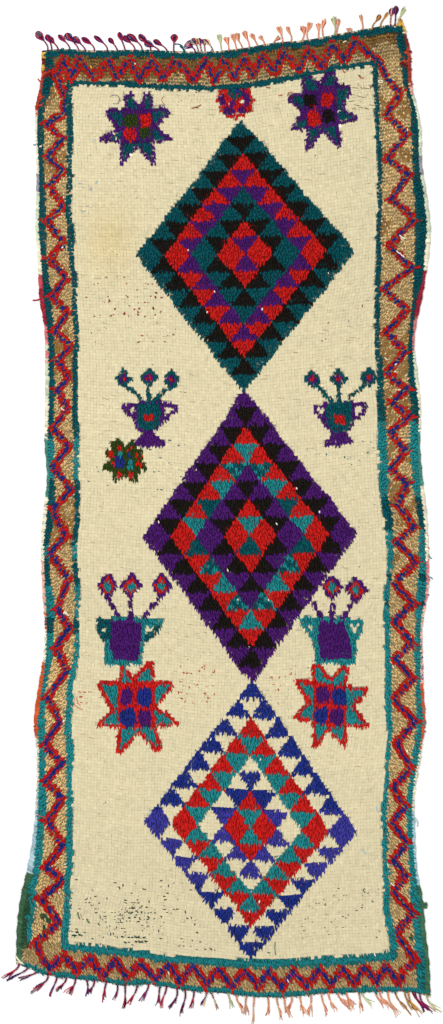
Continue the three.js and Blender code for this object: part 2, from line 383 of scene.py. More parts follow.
# The end of an arm is two points, as far apart as it is wide there, square to its length.
def knotStar(place, corners, tips, notches, rim, arms, squares):
    a, d = readAcross - place[0], readDown - place[1]
    outline = []
    for number, (x, y, wide) in enumerate(tips):
        length = math.hypot(x, y)
        turnX, turnY = -y / length * wide / 2, x / length * wide / 2
        arm = [(x - turnX, y - turnY), (x + turnX, y + turnY)]
        if number % 2 == 0:
            outline += [corners[number // 2]] + arm + [notches[number // 2]]
        else:
            outline += arm
    body = inside(a, d, outline)
    knot(body, rim[0])
    gap = lineGap(a, d, outline + outline[:1])
    knot(body & (gap > rim[1]) & ~inside(a, d, corners), arms)
    for x, y, halfAcross, halfDown, yarn in squares:
        knot((abs(a - x) / halfAcross) ** 3 + (abs(d - y) / halfDown) ** 3 < 1, yarn)


for star in stars:
    knotStar(**star)

# A scalloped half rosette under the top border: a red ground with purple petals round a teal
# heart. Each spot: middle, half width, half height and yarn.
rosette = {
    "place": (34, 272),
    "across": 66,
    "down": 70,
    "scallops": 12,
    "wave": 0.07,
    "spots": [(-17, 272, 12, 22, "purple"), (1, 254, 10, 9, "purple"), (63, 252, 19, 11, "purple")]
    + [(77, 272, 17, 21, "purple"), (10, 314, 22, 15, "purple"), (22, 286, 10, 16, "purple")]
    + [(57, 309, 18, 14, "purple"), (71, 220, 16, 10, "purple"), (32, 240, 25, 28, "teal")]
    + [(41, 238, 7, 7, "blue"), (58, 280, 9, 7, "ivory"), (8, 284, 5, 9, "ivory")],
}
a = (readAcross - rosette["place"][0]) / rosette["across"]
d = (readDown - rosette["place"][1]) / rosette["down"]
outward = np.hypot(a, d) / (1 + rosette["wave"] * np.cos(rosette["scallops"] * np.arctan2(d, a)))
knot((outward < 1) & (readDown > 200), "red")
for x, y, halfAcross, halfDown, yarn in rosette["spots"]:
    knot(np.hypot((readAcross - x) / halfAcross, (readDown - y) / halfDown) < 1, yarn)

# Flower vases: three buds on stems over a two-handled body. Offsets are from the middle of the
# body's mouth.
urns = [
    {
        "place": (-291, 1402),
        "outline": [(-60, 8), (-30, 0), (52, -2), (60, 20), (62, 62), (48, 88), (18, 112)]
        + [(-22, 116), (-46, 98), (-60, 66), (-54, 40)],
        "filling": [(-45, 14), (-20, 4), (42, 4), (48, 24), (44, 78), (24, 100), (-16, 106), (-42, 86)],
        "foot": [(-17, 112), (11, 112), (37, 131), (55, 148), (58, 162), (-20, 170)]
        + [(-50, 157), (-45, 148)],
        "heart": [(-18, 49), (21, 49), (18, 62), (-3, 76), (-19, 68)],
        "handles": [
            [(-52, 14), (-94, 16), (-82, 40), (-58, 52)],
            [(52, 12), (99, 12), (100, 34), (76, 50), (58, 78)],
        ],
        "buds": [(-92, -88), (-2, -92), (86, -84)],
        "stems": [[(-84, -66), (-64, -49), (-43, -30), (-22, 0)], [(-1, -60), (0, 6)]]
        + [[(84, -56), (62, -38), (37, -18), (24, 2)]],
    },
    {
        "place": (426, 1402),
        "outline": [(-52, 2), (46, -2), (56, 20), (56, 66), (42, 96), (24, 116), (-26, 116)]
        + [(-50, 96), (-76, 62), (-58, 30)],
        "filling": [(-49, 6), (42, 2), (48, 60), (34, 96), (5, 114), (-18, 112), (-42, 88), (-52, 48)],
        "foot": [(-22, 112), (20, 112), (50, 151), (-41, 170), (-62, 157), (-57, 146), (-40, 138)],
        "heart": [(-22, 50), (20, 44), (20, 80), (-14, 82)],
        "handles": [
            [(-50, 10), (-98, 18), (-88, 40), (-68, 62)],
            [(46, 10), (100, 8), (92, 32), (66, 54), (52, 66)],
        ],
        "buds": [(-102, -87), (-6, -88), (107, -91)],
        "stems": [[(-94, -66), (-64, -36), (-34, -2)], [(-6, -60), (-4, 4)]]
        + [[(98, -70), (62, -42), (36, -14)]],
    },
]


# Corners moved by a place.
def moved(points, place):
    return [(x + place[0], y + place[1]) for x, y in points]


# A bud is nested diamonds: the share of its half width and half height, largest first.
def knotBud(place, halfWidth, halfHeight, layers):
    size = abs(readAcross - place[0]) / halfWidth + abs(readDown - place[1]) / halfHeight
    for share, yarn in layers:
        knot(size < share, yarn)


# Half widths of stems and handles, and of a bud with its height.
urnWork = {"stem": 7.2, "handle": 7, "bud": (34, 38)}
urnWork["layers"] = [(1, "teal"), (0.56, "purple"), (0.3, "red")]
for vase in urns:
    place = vase["place"]
    for stem in vase["stems"]:
        knot(lineGap(readAcross, readDown, moved(stem, place)) < urnWork["stem"], "teal")
    for bud in moved(vase["buds"], place):
        knotBud(bud, *urnWork["bud"], urnWork["layers"])
    for handle in vase["handles"]:
        knot(lineGap(readAcross, readDown, moved(handle, place)) < urnWork["handle"], "purple")
    layers = {"outline": "purple", "filling": "teal", "heart": "red", "foot": "purple"}
    for part, yarn in layers.items():
        knot(inside(readAcross, readDown, moved(vase[part], place)), yarn)

pots = [
    {
        "place": (-375, 2210),
        "band": [(-108, 0), (138, 2), (138, 30), (-108, 34)],
        "outline": [(-74, 0), (70, 0), (66, 90), (60, 176), (-76, 176), (-80, 90)],
        "filling": [(-56, 12), (52, 12), (58, 80), (48, 154), (-52, 154), (-60, 100)],
        "handles": [
            [(-74, 12), (-100, 20), (-106, 42), (-92, 64), (-78, 86)],
            [(118, 34), (104, 56), (72, 78)],
        ],
        "handleYarn": "teal",
        "buds": [(-71, -120), (19, -120), (131, -120)],
        "stems": [[(-71, -80), (-46, -38), (-19, 8)], [(17, -76), (13, 10)], [(122, -70), (58, 6)]],
    },
    {
        "place": (401, 2210),
        "band": [(-124, 0), (112, 4), (114, 28), (-122, 26)],
        "outline": [(-72, 0), (56, 0), (84, 90), (84, 178), (-62, 172), (-82, 74)],
        "filling": [(-50, 16), (40, 14), (66, 100), (64, 152), (-46, 154), (-58, 80)],
        "handles": [[(-118, 16), (-76, 76)], [(106, 30), (92, 62), (68, 80)]],
        "handleYarn": "turquoise",
        "buds": [(-6, -112), (85, -107)],
        "stems": [[(-75, -52), (-42, 12)], [(-4, -70), (-6, 12)], [(76, -66), (34, 8)]],
    },
]
potWork = {"stem": 8, "handle": 8.5, "bud": (41, 52), "dash": 5.2}
potWork["layers"] = [(1, "purple"), (0.68, "red"), (0.4, "turquoise")]
for pot in pots:
    place = pot["place"]
    for handle in pot["handles"]:
        gap = lineGap(readAcross, readDown, moved(handle, place))
        knot(gap < potWork["handle"], pot["handleYarn"])
    for corners, yarn in (("band", "turquoise"), ("outline", "turquoise"), ("filling", "purple")):
        knot(inside(readAcross, readDown, moved(pot[corners], place)), yarn)
    for stem in pot["stems"]:
        dashes = np.sin(readDown / potWork["dash"]) > -0.75
        gap = lineGap(readAcross, readDown, moved(stem, place))
        knot((gap < potWork["stem"]) & dashes, "purple")
    for bud in moved(pot["buds"], place):
        knotBud(bud, *potWork["bud"], potWork["layers"])
knot(zone(-490, -428, 2205, 2296) & holds("turquoise"), "teal")

# The borders: a teal band along the edge, tan ground with a zigzag of red, blue and red, and an
# inner teal band round the field. Across: where the bands start and stop on each side.
leftBands = table(
    "down outerStop innerStart innerStop",
    [0, -648, -600, -579], [110, -648, -600, -578], [150, -650, -599, -577],
    [213, -658, -598, -576], [281, -677, -597, -576], [350, -684, -597, -576],
    [570, -682, -597, -577], [700, -677, -597, -577], [832, -671, -592, -573],
    [945, -662, -578, -562], [1130, -645, -572, -556], [1510, -645, -572, -556],
    [1715, -643, -567, -551], [1865, -645, -567, -551], [1940, -664, -580, -562],
    [2105, -652, -564, -548], [2220, -643, -566, -551], [2350, -651, -572, -556],
    [2520, -678, -598, -577], [2705, -677, -598, -577], [2895, -675, -596, -577],
    [3045, -683, -596, -577], [3157, -697, -600, -579], [3232, -709, -607, -584],
    [3382, -730, -615, -590], [3640, -734, -624, -598],
)
rightBands = table(
    "down innerStart innerStop outerStart",
    [-10, 536, 558, 638], [50, 539, 560, 641], [84, 541, 562, 647], [118, 543, 564, 653],
    [195, 546, 567, 664], [237, 549, 569, 669], [307, 555, 572, 690], [607, 568, 583, 700],
    [757, 564, 579, 711], [982, 557, 574, 697], [1207, 559, 574, 682], [1395, 566, 593, 686],
    [1582, 570, 599, 690], [1695, 572, 601, 694], [1845, 592, 618, 718], [1976, 603, 622, 722],
    [2145, 592, 611, 709], [2332, 592, 611, 705], [2520, 596, 618, 708], [2632, 603, 618, 709],
    [2820, 590, 604, 686], [2970, 585, 600, 672], [3139, 587, 602, 686], [3289, 593, 612, 690],
    [3439, 611, 636, 706], [3640, 622, 648, 714],
)
topBand = table(
    "across start stop",
    [-700, 198, 218], [-574, 198, 217], [-400, 202, 221], [-154, 216, 236], [-20, 214, 233],
    [100, 206, 224], [240, 178, 198], [390, 146, 166], [544, 123, 143], [660, 104, 124],
)
bottomBand = table(
    "across start stop",
    [-720, 3420, 3443], [-600, 3431, 3454], [-397, 3450, 3476], [-210, 3476, 3500],
    [82, 3492, 3520], [240, 3489, 3517], [371, 3484, 3514], [620, 3464, 3492], [760, 3452, 3480],
)
endBands = (20, 14)  # the teal along the top end and along the bottom end

# The zigzag's middle line, from turn to turn: down the left side, along the bottom end, up the
# right side and back along the top end.
zigzagTurns = [
    (-644, 180), (-615, 233), (-598, 274), (-600, 319), (-675, 360), (-613, 416), (-663, 479),
    (-613, 536), (-666, 598), (-607, 670), (-672, 723), (-607, 804), (-657, 867), (-601, 939),
    (-654, 1008), (-592, 1064), (-639, 1133), (-586, 1195), (-629, 1248), (-589, 1308),
    (-633, 1358), (-589, 1426), (-645, 1500), (-592, 1570), (-645, 1645), (-579, 1729),
    (-648, 1801), (-599, 1901), (-658, 1967), (-588, 2063), (-633, 2173), (-583, 2248),
    (-636, 2326), (-596, 2408), (-671, 2508), (-621, 2601), (-677, 2689), (-615, 2751),
    (-674, 2820), (-615, 2889), (-668, 2970), (-609, 3060), (-674, 3139), (-612, 3195),
    (-696, 3264), (-631, 3348), (-716, 3431), (-701, 3465), (-686, 3489), (-660, 3525),
    (-612, 3476), (-563, 3533), (-510, 3480), (-462, 3549), (-416, 3488), (-377, 3555),
    (-316, 3506), (-269, 3559), (-212, 3506), (-175, 3574), (-125, 3516), (-77, 3581), (-29, 3521),
    (21, 3589), (67, 3533), (117, 3589), (159, 3531), (206, 3594), (248, 3536), (303, 3591),
    (348, 3527), (390, 3579), (431, 3523), (480, 3579), (517, 3516), (561, 3572), (596, 3516),
    (646, 3574), (663, 3534), (688, 3510), (706, 3483), (628, 3395), (697, 3320), (625, 3233),
    (669, 3173), (622, 3120), (672, 3054), (619, 2982), (669, 2914), (625, 2845), (687, 2770),
    (634, 2676), (702, 2601), (627, 2514), (696, 2439), (627, 2364), (696, 2307), (624, 2223),
    (699, 2154), (627, 2082), (709, 2001), (637, 1923), (702, 1870), (641, 1789), (677, 1714),
    (611, 1655), (671, 1589), (611, 1517), (680, 1461), (614, 1407), (677, 1358), (599, 1295),
    (665, 1217), (599, 1145), (671, 1064), (593, 980), (692, 901), (608, 820), (701, 723),
    (617, 645), (686, 551), (598, 495), (676, 404), (601, 326), (649, 242), (604, 195), (581, 150),
    (563, 120), (540, 101), (514, 73), (486, 51), (443, 120), (394, 68), (356, 144), (309, 86),
    (270, 156), (212, 92), (180, 167), (135, 111), (98, 178), (64, 113), (30, 184), (-9, 126),
    (-45, 195), (-79, 126), (-128, 195), (-188, 120), (-242, 188), (-281, 124), (-326, 191),
    (-362, 120), (-409, 189), (-443, 124), (-495, 184), (-548, 124), (-583, 184), (-611, 122),
    (-630, 158),
]
# Half widths of the whole and of its core at the top and at the bottom of the rug, how far its
# points reach along the top and elsewhere, and how ragged its edges are.
zigzag = {"half": (14.5, 16.5), "core": (4.8, 5.6), "points": (12, 25), "pointHalf": 4.5}
zigzag["ragged"] = 1.1

leftStop = readTable(leftBands, "down", "outerStop", readDown)
leftStop = np.where(readDown > 3448, -900, leftStop)
leftInner = readTable(leftBands, "down", "innerStart", readDown)
fieldLeft = readTable(leftBands, "down", "innerStop", readDown)
rightStart = readTable(rightBands, "down", "outerStart", readDown)
rightInner = readTable(rightBands, "down", "innerStop", readDown)
fieldRight = readTable(rightBands, "down", "innerStart", readDown)
topStop = readTable(topEnd, "across", "down", readAcross) + endBands[0]
topInner = readTable(topBand, "across", "start", readAcross)
fieldTop = readTable(topBand, "across", "stop", readAcross)
bottomStart = readTable(bottomEnd, "across", "down", readAcross) - endBands[1]
bottomInner = readTable(bottomBand, "across", "stop", readAcross)
fieldBottom = readTable(bottomBand, "across", "start", readAcross)

inField = zone(fieldLeft, fieldRight, fieldTop, fieldBottom)
inInnerBand = zone(leftInner, rightInner, topInner, bottomInner)
inGround = zone(leftStop, rightStart, topStop, bottomStart)
isGround = inGround & ~inInnerBand
knot(~inField, "teal")
knot(isGround, "tan")

# Browner wool in patches: along the top, at the top right corner, and in stretches of the sides.
topDepth = (readDown - topStop) / (topInner - topStop)
clouds = np.sin(readDown / 37 + np.sin(readAcross / 21)) + np.sin(readDown / 17 + readAcross / 13)
isTopSide = isGround & (readDown < topInner + 30)
brownTo = np.where(readAcross < -240, 0.86, 0.56)
brownTo = np.where(readAcross > 500, 0.33, brownTo)
knot(isTopSide & (topDepth < brownTo + 0.1 * clouds), "brown")
# Side, down from and to, and how bare of brown.
brownStretches = [
    (-1, 215, 300, 0.3), (-1, 400, 565, -0.3), (-1, 1130, 1340, -0.3), (-1, 1770, 1945, -1.4),
    (1, 258, 340, 0.0), (1, 455, 505, -0.8), (1, 660, 865, 0.3), (1, 1110, 1490, -0.6),
    (1, 1545, 1630, -1.2), (1, 1690, 1865, -0.4), (1, 1975, 2050, 0.2),
]
brownShare = 0.72
for edge, low, high, least in brownStretches:
    isHere = (readAcross * edge > 500) & zone(-900, 900, low, high) & (clouds > least)
    isMixed = rng.random(chart.shape) < brownShare
    knot(isGround & isHere & isMixed & holds("tan"), "brown")

# The zigzag lies over ground and bands alike: red either side of a blue core that breaks up
# into dashes, with a red point at each turn.
onBorder = (~inInnerBand | (readDown < topInner + 9)) & (readDown > topStop - 5)
ragged = rng.normal(0, zigzag["ragged"], readAcross.shape)
gap = lineGap(readAcross, readDown, zigzagTurns + zigzagTurns[:1]) + ragged
turns = np.array(zigzagTurns, float)
tips = 2 * turns - np.roll(turns, 1, axis=0) - np.roll(turns, -1, axis=0)
pointReach = np.where(turns[:, 1:] < 200, *zigzag["points"])
tips = turns + tips / np.linalg.norm(tips, axis=1, keepdims=True) * pointReach
for turn, tip in zip(turns, tips):
    pointGap = lineGap(readAcross, readDown, [tuple(turn), tuple(tip)])
    knot(onBorder & (pointGap < zigzag["pointHalf"]), "red")
worn = readDown / 3630
isFirstCorner = (readAcross < -540) & (readDown < 310)
half = lerp(*zigzag["half"], worn) + 3 * (readDown < fieldTop) + 4 * isFirstCorner
knot(onBorder & (gap < half), "red")
dashes = 2.0 * np.sin(readAcross / 7 + readDown / 8.5) + 0.8 * ragged
knot(onBorder & (gap + dashes < lerp(*zigzag["core"], worn)), "blue")

# Lighter turquoise yarn in stretches of the two side bands.
lightStretches = [
    (-1, 1537, 1690), (-1, 1939, 1988), (-1, 2089, 2210), (-1, 2268, 3700), (1, 1481, 1755),
    (1, 1882, 2048), (1, 2068, 2145), (1, 2168, 3700),
]
isTeal = holds("teal") & ~inField
for edge, low, high in lightStretches:
    knot((readAcross * edge > 500) & zone(-900, 900, low, high) & isTeal, "turquoise")
knot((readDown > 3400) & isTeal, "turquoise")

# Yarn of the side cords worked in over the pile's edge, and single knots of odd colours.
worked = [
    ("darkRed", -720, -655, 155, 190), ("brick", -720, -676, 160, 182),
    ("brick", -720, -690, 235, 300), ("brick", 664, 720, 72, 134), ("orange", 676, 704, 64, 84),
    ("orange", 688, 712, 152, 176), ("darkRed", 646, 712, 135, 150),
    ("darkRed", 688, 712, 176, 215), ("bottle", -830, -736, 3170, 3330),
    ("bottle", -830, -745, 3330, 3470), ("bottle", 706, 800, 3205, 3245),
    ("bottle", 748, 800, 3400, 3640), ("rose", -725, -690, 1160, 1200),
    ("orange", -760, -712, 2470, 2720), ("orange", 728, 800, 2600, 2760),
]
edgeLoops = np.sin(readDown / 6.5) > -0.2
isAtEdge = (legAcross < leftStop + 8) | (legAcross > rightStart - 12)
for yarn, *edges in worked:
    knot(zone(*edges) & isAtEdge & (edgeLoops | (yarn == "bottle")), yarn)
singleKnots = [
    ("gold", -510, 144, 7), ("palest", -596, 2194, 9), ("bottle", -690, 3330, 15),
    ("bottle", -668, 3345, 12), ("bottle", -684, 3375, 8), ("bottle", 690, 3408, 9),
]
for yarn, across, down, size in singleKnots:
    knot(np.hypot(readAcross - across, (readDown - down) * 1.3) < size, yarn)
whiteShare = 0.0009  # odd white legs among the colours
knot((rng.random(chart.shape) < whiteShare) & ~holds("ivory"), "palest")
print("design knotted:", chart.shape)


# A value in a material: sums, differences and products of it add the nodes that make them.
class Wire:
    def __init__(self, nodes, socket):
        self.nodes = nodes
        self.socket = socket

    def joined(self, operation, other, isFlipped=False):
        pair = (other, self) if isFlipped else (self, other)
        kinds = {item.socket.type for item in pair if isinstance(item, Wire)}
        if "RGBA" in kinds:
            filled = [
                item if isinstance(item, Wire) else (item, item, item, 1) for item in pair
            ]
            settings = {"data_type": "RGBA", "blend_type": operation}
            return self.nodes.add("ShaderNodeMix", settings, {0: 1.0, 6: filled[0], 7: filled[1]}, 2)
        if "VECTOR" in kinds:
            filled = [item if isinstance(item, Wire) else (item, item, item) for item in pair]
            return self.nodes.add(
                "ShaderNodeVectorMath", {"operation": operation}, {0: filled[0], 1: filled[1]}
            )
        return self.nodes.add("ShaderNodeMath", {"operation": operation}, {0: pair[0], 1: pair[1]})

    def __add__(self, other):
        return self.joined("ADD", other)

    def __radd__(self, other):
        return self.joined("ADD", other, True)

    def __sub__(self, other):
        return self.joined("SUBTRACT", other)

    def __rsub__(self, other):
        return self.joined("SUBTRACT", other, True)

    def __mul__(self, other):
        return self.joined("MULTIPLY", other)

    def __rmul__(self, other):
        return self.joined("MULTIPLY", other, True)


# The nodes of one material. add makes a node from its type, settings and inputs.
class Nodes:
    def __init__(self, name):
        self.material = bpy.data.materials.new(name)
        self.material.use_nodes = True
        self.tree = self.material.node_tree
        self.tree.nodes.clear()

    def add(self, kind, settings=None, inputs=None, output=0):
        node = self.tree.nodes.new(kind)
        for key, value in (settings or {}).items():
            setattr(node, key, value)
        for key, value in (inputs or {}).items():
            if isinstance(value, Wire):
                self.tree.links.new(value.socket, node.inputs[key])
            else:
                node.inputs[key].default_value = value
        return Wire(self, node.outputs[output])

    def finish(self, shader):
        output = self.tree.nodes.new("ShaderNodeOutputMaterial")
        self.tree.links.new(shader.socket, output.inputs["Surface"])
        return self.material


# Wool: the colour painted on the piece, made lighter and darker by slow changes of dye and by fine
# fibres, which also lift its surface. It is rough all over.
def wool(name, fibre, fibreShare, dyeShare, bump, roughness=0.9):
    nodes = Nodes(name)
    yarn = nodes.add("ShaderNodeAttribute", {"attribute_name": "yarn"}, None, "Color")
    place = nodes.add("ShaderNodeTexCoord", None, None, "Object")
    fine, slow = (
        nodes.add("ShaderNodeTexNoise", None, {"Vector": place, "Scale": scale, "Detail": detail})
        for scale, detail in ((1 / fibre, 3.0), (9.0, 2.0))
    )
    light = (1 - fibreShare / 2 - dyeShare / 2) + fine * fibreShare + slow * dyeShare
    rough = (roughness - 0.05) + fine * 0.1
    relief = nodes.add("ShaderNodeBump", None, {"Height": fine, "Strength": 0.6, "Distance": bump})
    shader = nodes.add(
        "ShaderNodeBsdfPrincipled",
        None,
        {
            "Base Color": yarn * light,
            "Roughness": rough,
            "Normal": relief,
            "Specular IOR Level": 0.05,
        },
    )
    return nodes.finish(shader)


pileWool = wool("cut wool pile", 0.0035, 0.34, 0.10, 0.0012)
clothWool = wool("woven ground cloth", 0.0025, 0.3, 0.1, 0.0008)
cordWool = wool("overcast side yarn", 0.003, 0.4, 0.16, 0.001)
tasselWool = wool("twisted fringe yarn", 0.002, 0.3, 0.1, 0.0004)



# Four-cornered faces between neighbouring rings of points, numbered ring by ring.
def ringWalls(index):
    following = np.roll(index, -1, axis=-1)
    return np.stack(
        [index[..., :-1, :], following[..., :-1, :], following[..., 1:, :], index[..., 1:, :]], -1
    )


# Puts points, triangles, a colour for each point and a map for baking into one piece.
def makePiece(name, points, triangles, colours, material, corners=None, isSmooth=True):
    mesh = bpy.data.meshes.new(name)
    mesh.vertices.add(len(points))
    mesh.vertices.foreach_set("co", np.ascontiguousarray(points, np.float32).ravel())
    mesh.loops.add(triangles.size)
    mesh.loops.foreach_set("vertex_index", np.ascontiguousarray(triangles, np.int32).ravel())
    mesh.polygons.add(len(triangles))
    width = triangles.shape[1]
    mesh.polygons.foreach_set("loop_start", np.arange(len(triangles), dtype=np.int32) * width)
    mesh.update(calc_edges=True)
    mesh.polygons.foreach_set("use_smooth", np.broadcast_to(isSmooth, len(triangles)))
    layer = mesh.color_attributes.new("yarn", "FLOAT_COLOR", "POINT")
    filled = np.ones((len(points), 4), np.float32)
    filled[:, :3] = colours
    layer.data.foreach_set("color", filled.ravel())
    if corners is not None:
        mesh.uv_layers.new(name="OFBake").data.foreach_set(
            "uv", np.ascontiguousarray(corners, np.float32).ravel()
        )
    mesh.validate()
    mesh.materials.append(material)
    piece = bpy.data.objects.new(name, mesh)
    bpy.context.scene.collection.objects.link(piece)
    return piece


# Ties a piece to the rug's body, and hides the node it stands for.
def tied(piece, node):
    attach(piece, "root")
    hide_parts(node)
    return piece


# Gives each copy of a small shape its own cell of a square map, with a margin round it.
def cellCorners(count, templateCorners, first=0, total=None):
    side = math.ceil(math.sqrt(total or count))
    cells = np.arange(first, first + count)
    cells = np.stack([cells % side, cells // side], -1)[:, None, :]
    return ((cells + 0.04 + 0.92 * templateCorners[None]) / side).reshape(-1, 2)


# Down the design is backwards in the frame, which turns shapes worked out in the design over.
downIsBack = np.array([1, -1, 1])


# Turns a small shape's triangles round if they face inwards: the sum of the boxes spanned by the
# three corners of each triangle is positive for a shape that faces out.
def facingOut(points, triangles):
    a, b, c = (points[triangles[:, index]] for index in range(3))
    return triangles if (np.cross(a, b) * c).sum() > 0 else triangles[:, ::-1]


# A leg of coloured yarn is a short blade of wool brushed towards the bottom end: a point at the
# root, two three-cornered sections and a point at the tip.
blade = {"reach": (16, 29), "width": (8.0, 7.6), "height": 10.6, "splay": 0.55, "stray": 0.24}
bladeAlong = np.array([-0.4, -0.12, -0.12, -0.12, 0.3, 0.3, 0.3, 0.6])
bladeAside = np.array([0, -0.5, 0.5, 0, -0.46, 0.46, 0, 0])
bladeHeight = np.array([0.3, 0.62, 0.62, 0.86, 0.72, 0.72, 1.0, 0.8])
# Painted shade and light on a blade's points: darkest at the root, darker along the low sides and
# lighter along the ridge, for the depth of the pile; partly the real fading of wool towards its tips.
bladePaintedShade = np.array([0.5, 0.8, 0.8, 0.95, 0.88, 0.88, 1.06, 0.98])
bladeFaces = np.array(
    [
        [0, 1, 3], [0, 3, 2], [0, 2, 1], [1, 4, 6], [1, 6, 3], [3, 6, 5], [3, 5, 2], [2, 5, 4],
        [2, 4, 1], [4, 7, 6], [6, 7, 5], [5, 7, 4],
    ]
)
bladePoints = np.stack([bladeAside * 6, bladeAlong * 20, bladeHeight * 10], -1)
bladeFaces = facingOut(bladePoints * downIsBack, bladeFaces)
# Each of its three sides takes a strip of the map, from the root to the tip.
bladeStrips = np.array([0, 1, 2, 0, 0, 1, 1, 2, 2, 0, 1, 2])
bladeEdge = {(0, 1): 0, (0, 3): 1, (1, 3): 0, (1, 2): 1, (2, 2): 0, (2, 1): 1}
sectionOf = np.array([0, 1, 1, 1, 2, 2, 2, 3]) / 3
cornerOf = np.array([-1, 1, 2, 3, 1, 2, 3, -1])
bladeCorners = np.array(
    [
        [
            (strip + (0.5 if cornerOf[point] < 0 else bladeEdge[strip, cornerOf[point]])) / 3,
            sectionOf[point],
        ]
        for strip, face in zip(bladeStrips, bladeFaces)
        for point in face
    ],
    float,
).reshape(-1, 2)

# An ivory knot is clipped lower and squarer: a low block with a slightly domed top.
tuft = {"height": 8.4, "size": 1.02, "uneven": 0.06}
tuftSquare = [(-1, -1), (1, -1), (1, 1), (-1, 1)]
tuftPoints = np.array(
    [[x, y, -1.2] for x, y in tuftSquare]
    + [[x * 0.7, y * 0.7, -0.25] for x, y in tuftSquare]
    + [[0, 0, 0]],
    float,
)
tuftFaces = np.array(
    [[k, (k + 1) % 4, 4 + (k + 1) % 4] for k in range(4)]
    + [[k, 4 + (k + 1) % 4, 4 + k] for k in range(4)]
    + [[4 + k, 4 + (k + 1) % 4, 8] for k in range(4)]
    + [[0, 2, 1], [0, 3, 2]]
)
tuftFaces = facingOut(tuftPoints * downIsBack, tuftFaces)
# Seen from above: the top in the middle of the cell, the sides round it, the foot beside them.
tuftFlat = np.array([[x, y] for x, y in ((0, 0), (0.7, 0), (0.7, 1), (0, 1))] * 2 + [[0.35, 0.5]])
tuftFlat[4:8] = (tuftFlat[4:8] - [0.35, 0.5]) * 0.7 + [0.35, 0.5]
tuftCorners = tuftFlat[tuftFaces.ravel()].reshape(-1, 3, 2)
tuftCorners[-2:] = tuftCorners[-2:] * [0.38, 1] + [0.73, 0]
tuftCorners = tuftCorners.reshape(-1, 2)


# Averages a grid over each place and its neighbours on every side.
def blurred(grid, times):
    for _ in range(times):
        padded = np.pad(grid, 1)
        grid = sum(
            padded[1 + y : 1 + y + grid.shape[0], 1 + x : 1 + x + grid.shape[1]]
            for y in (-1, 0, 1)
            for x in (-1, 0, 1)
        ) / 9
    return grid


isIvory = holds("ivory", "palest")
isPlush = np.pad((~isIvory).astype(float), 2)
plush = blurred(isPlush, 2)
leanDown, leanAcross = (side[2:-2, 2:-2] for side in np.gradient(plush))
# Which way the pile was brushed: right and down along the ends, up to the right along the right
# side, down to the left along the left side, and straight down in the field.
drift = np.sin(legDown / 310 + legAcross / 420 + 1.2) * 0.16
onSide = ~inField & (readDown > fieldTop) & (readDown < fieldBottom)
onEnd = ~inField & ~onSide
isTealish = holds("teal", "turquoise") & ~inField
isTopBand = isTealish & onEnd & (legDown < 1500)
isBottomBand = isTealish & onEnd & (legDown > 1500)
brushed = [
    (onEnd, 0.42, 0.9),
    (onSide & (legAcross < 0) & (legDown < 3230), -0.6, 0.65),
    (onSide & (legAcross < 0) & (legDown >= 3230), 0.3, 0.95),
    (onSide & (legAcross > 0) & (legDown < 1750), 0.65, -0.6),
    (onSide & (legAcross > 0) & (legDown >= 1750), 0.6, 0.75),
    (isTopBand, 0.85, 0.45),
    (isBottomBand, 0.25, 0.95),
]
leanRight, leanBottom = drift, np.ones(chart.shape)
for isHere, right, bottom in brushed:
    leanRight, leanBottom = np.where(isHere, right, leanRight), np.where(isHere, bottom, leanBottom)
leanRight = leanRight - leanAcross * blade["splay"] * 3 + rng.normal(0, blade["stray"], chart.shape)
leanBottom = leanBottom - leanDown * blade["splay"] * 2.2 + rng.normal(0, 0.16, chart.shape)
# The outermost locks flop over the rug's edges.
leanRight[:, :2], leanRight[:, -2:] = -1.2, 1.2
leanBottom[:2], leanBottom[-2:] = -1.2, 1.2
leanRight[:2] = rng.normal(0, 0.5, leanRight[:2].shape)
leanRight[:, :2] += rng.normal(0, 0.3, leanRight[:, :2].shape)
length = np.hypot(leanRight, leanBottom)
leanRight, leanBottom = leanRight / length, leanBottom / length

# The tan ground is clipped to rough tufts down to here, and its locks are shorter below it, so
# that the rows show: the share of the usual reach, and the height.
roughDown = 900
shortLocks = {"tan": (0.66, 9.4), "brown": (0.66, 9.4), "ivory": (0.7, 8.6), "palest": (0.7, 10.5)}
lockKinds = [shortLocks.get(name, (1, blade["height"])) for name in yarnNames]
reachOf, heightOf = np.array(lockKinds, float).T

# Uneven dye: whole rows differ a little, knots more, and single legs a little again. The ivory is
# calmer than the rest.
dye = {"row": 0.02, "slow": 0.03, "knot": 0.06, "leg": 0.06, "calm": 0.42, "patchy": 1.5}
rowShade = 1 + rng.normal(0, dye["row"], (knots["rows"], 1)) + dye["slow"] * np.sin(legDown / 190)
knotShade = rng.normal(0, dye["knot"], (knots["rows"], knots["legsAcross"] // 2))
shade = rowShade + np.repeat(knotShade, 2, axis=1) + rng.normal(0, dye["leg"], chart.shape)
shade = np.where(isIvory, 1 + (shade - 1) * dye["calm"], shade)
# The tan is patchier than the rest, and bleached along the sides; the red, the blue and the bottom
# band of the border get painted shade, for the shadows in their rough pile.
shade = np.where(holds("tan"), 1 + (shade - 1) * dye["patchy"], shade)
bleached = 1.36 + 0.14 * (legAcross < 0) * (legDown > 2250)
for isHere, light in (
    (holds("tan", "brown") & onSide, bleached),
    (holds("red") & ~inField, 0.9),
    (holds("blue") & ~inField, 0.84),
    (isBottomBand, 0.76),
):
    shade = shade * np.where(isHere, light, 1)
legColours = yarnColours[chart] * shade[..., None]
# A faint ochre stain on the left of the ivory, fading out like a bell.
stain = {"across": -440, "down": 800, "wide": 90, "long": 130, "takes": (0.02, 0.09, 0.22)}
fromMiddle = ((legAcross - stain["across"]) / stain["wide"]) ** 2
fromMiddle = fromMiddle + ((legDown - stain["down"]) / stain["long"]) ** 2
legColours *= 1 - np.exp(-fromMiddle)[..., None] * isIvory[..., None] * np.array(stain["takes"])

